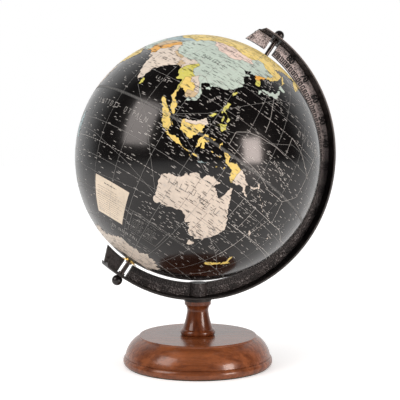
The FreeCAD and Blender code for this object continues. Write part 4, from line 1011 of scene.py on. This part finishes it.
def path(text):
    spots = pairs(text)
    out = [spots[0]]
    for a, b in zip(spots, spots[1:]):
        out += arc(a, b)[1:]
    return out


blank = bpy.data.meshes.new("blank")
net = grown(NET, blank, GLOBE, Radius=BALL + LAYER["net"], Width=0.30 * MM, Material=INK_GREY)
finish_piece("graticule", net, None, "globe")

TROPIC, POLAR_CIRCLE = 23.44, 66.56
dashes = [arc((lon, lat), (lon + 1.3, lat)) for lat in (TROPIC, -TROPIC, POLAR_CIRCLE, -POLAR_CIRCLE)
          for lon in range(0, 360, 2)]
ribbon(dashes, 0.42 * MM, LAYER["border"], INK_PALE, "tropic_lines")

territory = lines_of("""130.7 3.0 130.4 9.2 134.7 12.2 140.4 13.7 149.5 14.7 156.2 14.4 156.4 23.7 165.2 21.5
 / 141.9 16.9 141.4 23.8 139.7 31.5 139.0 35.6 / 143.8 -11.1 157.8 -11.7 171.4 -11.9 168.0 -1.9 157.2 -2.3
 149.3 0.6 130.7 3.0 / 157.8 -11.7 158.0 -23.3 165.8 -23.2 180 -22.6 217.4 -21.1 / 165.3 -41.5 165.2 -23.2
 168.5 -11.7 / 150 -20.2 150 -11.6 / 171.4 -11.9 180 -11.5 190 -14 200 -13 205 -20 / 168 -1.9 175 4 176 15
 165.2 21.5 / 180 -47 178.3 -57.5 / 190 -14 189 5 197 12 196 28 180 30 176 15 / -150 -25 -128 -24 -127 -10
 -138 -7 -155 -7 -150 -25""")
ribbon([path(p) for p in territory], 0.36 * MM, LAYER["border"], INK_PALE, "island_group_lines")
routes = lines_of("""104 1 116 9 128 22 140 34 / 104 1 114 4.5 126 7 145 13.5 158 21 203 21 / 104 1 113 -4 129
 -12 131 -12 / 115.7 -32 106 -20 95 -6 80 6 / 115.7 -32 95 -26 70 -21 57.5 -20 / 151.5 -34 163 -36 175 -37 /
 153 -28 165 -22 178 -18 190 -10 203 21 / 140 35 160 44 180 49 200 51 230 49 / 121 31 125 32.5 130 33.5 / 140
 35 170 33 203 22 / 18 -34 45 -36 80 -37 114 -34 / -80 9 -120 15 -157 21 / -74 40 -40 48 -6 50 / -35 -8 -20 10
 -10 36 / 151.5 -34 180 -45 -140 -50 -75 -54""")
ribbon([path(p) for p in routes], 0.26 * MM, LAYER["border"], INK_GREY, "shipping_routes")


# small print
def sheet_of(points_text, step=1.0):
    """A plain patch of the ball's surface inside a box of longitude and latitude."""
    (west, south), (east, north) = pairs(points_text)
    nx, ny = max(1, round((east - west) / step)), max(1, round((north - south) / step))
    points = [on_ball(west + (east - west) * i / nx, south + (north - south) * j / ny, LAYER["land"])
              for j in range(ny + 1) for i in range(nx + 1)]
    faces = [(j * (nx + 1) + i, j * (nx + 1) + i + 1, (j + 1) * (nx + 1) + i + 1, (j + 1) * (nx + 1) + i)
             for j in range(ny) for i in range(nx)]
    return points, faces


WORDS_CLOSE, WORDS_WIDE = 26000.0, 8500.0   # words to a square metre of the map
CROWDED_SEAS = lines_of("""96 -12 134 8 / 116 6 128 20 / 134 -12 166 12 / 150 -24 180 -8 / 138 -36 158 -20 /
 122 26 148 42 / 108 -46 150 -34""")
all_land = joined(land_meshes.values(), "all_land")
names = grown(WORDS, all_land, GLOBE, Density=WORDS_CLOSE, Seed=5, Letters=7,
              Pitch=0.80 * MM, Height=1.25 * MM, Lift=0.08 * MM, Material=INK_DARK)
finish_piece("land_small_print", names, None, "globe")
sea = mesh_of("sea", *sheet_of("0 -78 360 78", 4.0))
names = grown(WORDS, sea, GLOBE, Density=WORDS_WIDE, Seed=8, Letters=6,
              Pitch=0.72 * MM, Height=0.95 * MM, Lift=0.07 * MM, Material=INK_PALE)
finish_piece("ocean_small_print", names, None, "globe")
crowded = joined([mesh_of("patch", *sheet_of(box, 2.0)) for box in CROWDED_SEAS], "crowded")
names = grown(WORDS, crowded, GLOBE, Density=WORDS_CLOSE, Seed=14, Letters=5,
              Pitch=0.66 * MM, Height=0.90 * MM, Lift=0.07 * MM, Material=INK_PALE)
finish_piece("island_small_print", names, None, "globe")

# legend panel with its rows of greeked writing
points, faces = sheet_of("75.9 -55.7 102.3 -37.8")
legend = mesh_of("legend_panel", points, faces, GLOBE)
lie_round(legend)
finish_piece("legend_panel", legend, LEGEND, "globe")


def greeked(box, rows, columns, dice, fill=0.8):
    (west, south), (east, north) = pairs(box)
    runs = []
    for row in range(rows):
        lat = north - (north - south) * (row + 0.5) / rows
        for column in range(columns):
            left = west + (east - west) * column / columns
            right = left + (east - west) / columns * dice.uniform(fill * 0.7, fill)
            lon = left
            while lon < right:
                word = dice.uniform(0.8, 2.6)
                runs.append(arc((lon, lat), (min(lon + word, right), lat)))
                lon += word + 0.55
    return runs


dice = random.Random(21)
ribbon(greeked("78.2 -54.6 100.8 -41.6", 12, 1, dice, 1.0), 0.42 * MM, LAYER["print"], INK_BORDER, "legend_rows")
ribbon(greeked("84 -40.9 95 -38.9", 1, 1, dice, 1.0), 0.95 * MM, LAYER["print"], INK_DARK, "legend_heading")
ribbon(greeked("109.4 -55.0 132.2 -48.2", 8, 2, dice, 0.85) + greeked("112.5 -47.9 129.5 -45.2", 2, 1, dice, 0.95),
       0.40 * MM, LAYER["print"], INK_GREY, "inset_rows")
frame_line = path("108.0 -55.8 133.2 -55.8 133.2 -44.6 108.0 -44.6 108.0 -55.8")
ribbon([frame_line], 0.34 * MM, LAYER["print"], INK_GREY, "inset_outline")


# letter-like strokes that name nothing, for the large names of seas and lands
def glyph_row(start, angle, count, size, dice):
    """Simple strokes in a row: bars, hooks and rings with no meaning."""
    shapes = [[(0, 0, 0, 1)], [(0, 0, 0, 1), (0, 0, 0.6, 0)], [(0, 0, 0.3, 1), (0.3, 1, 0.6, 0)],
              [(0, 0, 0, 1), (0, 1, 0.6, 0), (0.6, 0, 0.6, 1)],
              [(0, 0, 0, 1), (0, 1, 0.55, 1), (0.55, 1, 0.55, 0), (0.55, 0, 0, 0)],
              [(0, 1, 0.6, 1), (0.3, 1, 0.3, 0)]]
    runs = []
    c, s = math.cos(math.radians(angle)), math.sin(math.radians(angle))
    squeeze = 1.0 / max(0.3, math.cos(math.radians(start[1])))
    for k in range(count):
        for ax, ay, bx, by in dice.choice(shapes):
            ends = [(k * 1.15 + ax, ay), (k * 1.15 + bx, by)]
            runs.append([(start[0] + (x * c - y * s) * size * squeeze, start[1] + (x * s + y * c) * size)
                         for x, y in ends])
    return runs


sea_names = [
    ((62, -7.5), 0, 7, 2.1), ((82, -7.5), 0, 6, 2.1), ((152, 8), -12, 5, 1.5), ((160, 27), 0, 8, 2.4),
    ((190, 5), 0, 7, 2.4), ((113.5, 13), 60, 6, 1.0), ((126, 18), -70, 5, 1.0), ((131, 39.5), 30, 4, 1.0),
    ((148, 53), 0, 6, 1.3), ((156, -38), 0, 6, 1.5), ((200, -35), 0, 7, 2.4), ((-50, 30), 0, 8, 2.4),
    ((-25, -25), 0, 8, 2.4), ((86, 12), 0, 5, 1.3), ((60, 14), 0, 5, 1.3), ((92, -60), 0, 8, 1.6),
    ((30, -45), 0, 8, 1.9),
]
ribbon([r for spot, angle, count, size in sea_names for r in glyph_row(spot, angle, count, size, dice)],
       0.36 * MM, LAYER["print"], INK_PALE, "sea_lettering")
land_names = [
    ((118, -24.5), 8, 5, 2.3), ((133, -23.3), -4, 5, 2.3), ((95, 33), 0, 5, 2.3), ((98, 46), 0, 6, 1.3),
    ((75, 22), 0, 5, 1.6), ((95, 62), 0, 6, 2.6), ((-108, 55), 0, 6, 2.3), ((-110, 40), 0, 7, 2.0),
    ((-60, -10), 0, 6, 2.2), ((5, 24), 0, 6, 2.0),
]
ribbon([r for spot, angle, count, size in land_names for r in glyph_row(spot, angle, count, size, dice)],
       0.40 * MM, LAYER["print"], INK_DARK, "land_lettering")


# equator scale on its tape, and hour ticks on the polar discs
def small_block(width, height, depth, centre):
    x, y, z = centre
    w, h, d = width / 2, height / 2, depth / 2
    points = [(x + i * d, y + j * w, z + k * h) for i in (-1, 1) for j in (-1, 1) for k in (-1, 1)]
    return points, [(0, 1, 3, 2), (4, 6, 7, 5), (0, 4, 5, 1), (2, 3, 7, 6), (0, 2, 6, 4), (1, 5, 7, 3)]


TAPE_LIFT = 0.06 * MM
TAPE_HALF = 2.0 * MM
tape_profile = [(BALL - 0.1 * MM, -TAPE_HALF), (BALL + TAPE_LIFT, -TAPE_HALF),
                (BALL + TAPE_LIFT, TAPE_HALF), (BALL - 0.1 * MM, TAPE_HALF)]
tape = turn(tape_profile, 384, GLOBE)
lie_round(tape)
finish_piece("equator_tape_print", tape, FINISH["tape_paper"], "globe", ["equator_tape"])
TAPE = BALL + LAYER["border"]
tick = mesh_of("tick", *small_block(0.28 * MM, 0.8 * MM, 0.06 * MM, (TAPE + 0.03 * MM, 0, -1.2 * MM)))
ticks = grown(RING, tick, GLOBE, Count=180, Step=2.0, Material=INK_GREY)
finish_piece("equator_ticks", ticks, None, "globe")
bar = mesh_of("bar", *small_block(1.2 * MM, 0.26 * MM, 0.06 * MM, (TAPE + 0.035 * MM, 0, 0)))
finish_piece("equator_bars",
             grown(RING, bar, GLOBE, Count=72, Start=2.5, Step=5.0, Material=INK_GREY), None, "globe")
lines = [[(lon, lat) for lon in range(0, 362, 2)] for lat in (-0.32, 0.32)]
ribbon(lines, 0.20 * MM, LAYER["print"], INK_GREY, "equator_edge_lines")
HOUR_CIRCLE = 81.6          # latitude of the hour circle on each polar disc
DISC_LIFT = 0.34 * MM       # its ink above the ball
for end, sign in (("north", 1), ("south", -1)):
    latitude = HOUR_CIRCLE * sign
    hours = [[(lon, latitude), (lon, latitude + length * sign)]
             for step, length in ((15, 1.8), (5, 0.9)) for lon in range(0, 360, step)]
    hoops = [[(lon, latitude + gap * sign) for lon in range(0, 365, 5)] for gap in (0, 3.4)]
    ribbon(hours + hoops, 0.3 * MM, DISC_LIFT, INK_PALE, end + "_hour_scale")


# ---- the arm's raised figures ---------------------------------------------

FACE = 2.0 * MM             # from the middle of the web to its face
FIGURE_SIZE = 11.0 * MM
FIGURE_DEEP = 5.0 * MM      # from the rim to a figure's middle


def figure(text, size):
    """One raised numeral, made a mesh, centred on its own middle."""
    curve = bpy.data.curves.new("figure", "FONT")
    curve.body, curve.size, curve.align_x, curve.align_y = text, size, "CENTER", "CENTER"
    curve.extrude, curve.bevel_depth, curve.bevel_resolution, curve.offset = 0.45 * MM, 0.12 * MM, 1, 0.30 * MM
    obj = bpy.data.objects.new("figure", curve)
    bpy.context.scene.collection.objects.link(obj)
    mesh = bpy.data.meshes.new_from_object(obj.evaluated_get(bpy.context.evaluated_depsgraph_get()))
    bpy.data.objects.remove(obj)
    return mesh


def arm_point(latitude, radius, y):
    a = math.radians(latitude)
    return HUB + radius * (math.cos(a) * LEAN + math.sin(a) * POLE) + Vector((0, y, 0))


def arm_side(side):
    """side -1 is the face towards the front, +1 the back face."""
    made = []
    for step in range(-8, 9):
        latitude = 10 * step
        out = (arm_point(latitude, 1.0, 0) - HUB).normalized()
        along = out.cross(Vector((0, side, 0)))
        place = axes(along, out, Vector((0, side, 0)),
                     arm_point(latitude, RIM_IN - FIGURE_DEEP, side * (FACE + 0.2 * MM)))
        mesh = figure(str(abs(latitude)), FIGURE_SIZE)
        mesh.transform(place)
        made.append(mesh)
    return made


figures = joined(arm_side(-1) + arm_side(1), "arm_figures")
NUMERAL = metal("figure_bronze", rgb(0.006, 0.004, 0.004), rgb(0.05, 0.04, 0.035), 0.6, 0.2, 0.3, 0.0)
finish_piece("arm_figures", figures, NUMERAL, "stand")


def hollow_block(width, height, wall, depth):
    """An open rectangular frame that stands on the arm's face."""
    rings = []
    for w, h, z in ((width, height, 0), (width, height, depth),
                    (width - 2 * wall, height - 2 * wall, depth), (width - 2 * wall, height - 2 * wall, 0)):
        rings += [(s * w / 2, r * h / 2, z) for s, r in ((-1, -1), (1, -1), (1, 1), (-1, 1))]
    faces = []
    for ring in range(3):
        for k in range(4):
            a, b = ring * 4 + k, ring * 4 + (k + 1) % 4
            faces.append((a, b, b + 4, a + 4))
    for k in range(4):
        a, b = 12 + k, 12 + (k + 1) % 4
        faces.append((a, b, (k + 1) % 4, k))
    return rings, faces


for side, word in ((-1, "front"), (1, "back")):
    points, faces = hollow_block(width=4.1 * MM, height=6.2 * MM, wall=1.15 * MM, depth=0.6 * MM)
    seat = Matrix.Translation((WEB_IN + 4.0 * MM, 0, FACE)) @ Matrix.Rotation(math.radians(-90), 4, "Z")
    block = mesh_of("block", points, faces, seat)
    place = axes(LEAN, Vector((0, side, 0)).cross(LEAN), Vector((0, side, 0)), HUB)
    blocks = grown(RING, block, place, Count=88, Start=-87.0, Step=2.0, Material=NUMERAL)
    finish_piece(word + "_degree_blocks", blocks, None, "stand")


# ---- threads on the pole pins ---------------------------------------------

for end, sign in (("north", 1), ("south", -1)):
    ahead = POLE * sign
    reach = WEB_IN + 2.0 * MM + ARM_RISE * sign
    place = axes(ahead.cross(SIDE) * -1, SIDE, ahead, CENTRE + ahead * reach)
    winding = grown(THREAD, bpy.data.meshes.new("none"), place, Turns=12.0,
                    Radius=2.45 * MM, Length=13.4 * MM, Ridge=0.42 * MM, Material=FINISH["pin_metal"])
    winding.shade_smooth()
    finish_piece(end + "_pin_thread", winding, None, "stand")


# ---- stage, light, camera -------------------------------------------------


FLOOR_GLOW = 0.34           # lifts the floor to white for the camera alone


def floor_finish():
    mat, t, shader = material("studio_floor", Roughness=0.6, Specular_IOR_Level=0.2)
    tone = shared(t, MOTTLE, Colour=rgb(0.93, 0.93, 0.93), Scale=4.0, Contrast=0.01)
    seen = t.put("ShaderNodeLightPath").outputs["Is Camera Ray"]
    shader.inputs["Emission Color"].default_value = rgb(1.0, 1.0, 1.0)
    join(t, shader, Base_Color=tone["Colour"], Emission_Strength=t.math("MULTIPLY", seen, FLOOR_GLOW))
    return mat


FLOOR = 8.0                 # half the floor's width
floor = mesh_of("studio_floor",
                [(-FLOOR, -FLOOR, 0), (FLOOR, -FLOOR, 0), (FLOOR, FLOOR, 0), (-FLOOR, FLOOR, 0)], [(0, 1, 2, 3)])
floor_piece = bpy.data.objects.new("studio_floor", floor)
floor.materials.append(floor_finish())
bpy.context.scene.collection.objects.link(floor_piece)

HEADING, PITCH = math.radians(17.9), math.radians(4.01)
EYE = Vector((-0.3750, -1.1628, 0.2884))
LOOK = Vector((math.sin(HEADING) * math.cos(PITCH), math.cos(HEADING) * math.cos(PITCH), -math.sin(PITCH)))
camera = bpy.data.cameras.new("camera")
camera.sensor_width, camera.lens, camera.shift_x, camera.shift_y = 36.0, 87.9, 0.0045, 0.010
camera_piece = bpy.data.objects.new("camera", camera)
camera_piece.location = EYE
camera_piece.rotation_euler = LOOK.to_track_quat("-Z", "Y").to_euler()
bpy.context.scene.collection.objects.link(camera_piece)
bpy.context.scene.camera = camera_piece

RIGHT = Vector((math.cos(HEADING), -math.sin(HEADING), 0))
AHEAD = Vector((math.sin(HEADING), math.cos(HEADING), 0))


def soft_box(name, right, ahead, up, width, height, power, colour):
    """An area light placed by how far it is to the viewer's right, ahead of and above the globe's middle."""
    lamp = bpy.data.lights.new(name, "AREA")
    lamp.shape, lamp.size, lamp.size_y, lamp.energy, lamp.color = "RECTANGLE", width, height, power, colour
    piece = bpy.data.objects.new(name, lamp)
    piece.location = CENTRE + RIGHT * right + AHEAD * ahead + Vector((0, 0, up))
    piece.rotation_euler = (CENTRE - piece.location).to_track_quat("-Z", "Y").to_euler()
    bpy.context.scene.collection.objects.link(piece)


soft_box("key", right=1.60, ahead=-1.40, up=0.27, width=0.62, height=0.74, power=21.0, colour=(1.0, 0.86, 0.80))
soft_box("left_wall", right=-1.55, ahead=-0.98, up=1.0, width=0.95, height=1.3, power=20, colour=(1.0, 0.91, 0.87))

world = bpy.data.worlds.new("studio")
bpy.context.scene.world = world
world.use_nodes = True
w = Tree(world.node_tree)
backdrop = world.node_tree.nodes["Background"]
way = w.put("ShaderNodeTexCoord").outputs["Generated"]
forward = w.vector("DOT_PRODUCT", way, tuple(AHEAD))
room = w.span(forward, 0.1, 0.7, 0.02, 0.80, smooth=True)
# mirrored rays see a room that brightens ahead of the viewer, diffuse rays a
# soft sky, and the camera plain white
FILL, FILL_UP = 0.20, 0.92  # the sky's level at the horizon, and what it gains overhead
rays = w.put("ShaderNodeLightPath").outputs
upward = w.math("MAXIMUM", w.put("ShaderNodeSeparateXYZ", {0: way}).outputs[2], 0.0)
spread = w.math("MULTIPLY", rays["Is Diffuse Ray"], w.math("ADD", FILL, w.math("MULTIPLY", upward, FILL_UP)))
mirrored = w.math("MULTIPLY", room, w.math("SUBTRACT", 1.0, rays["Is Diffuse Ray"]))
level = w.math("MAXIMUM", w.math("MAXIMUM", mirrored, spread), rays["Is Camera Ray"])
w.tree.links.new(w.put("ShaderNodeCombineColor", {0: level, 1: level, 2: level}).outputs[0],
                 backdrop.inputs["Color"])
bpy.context.scene.view_settings.view_transform = "Standard"
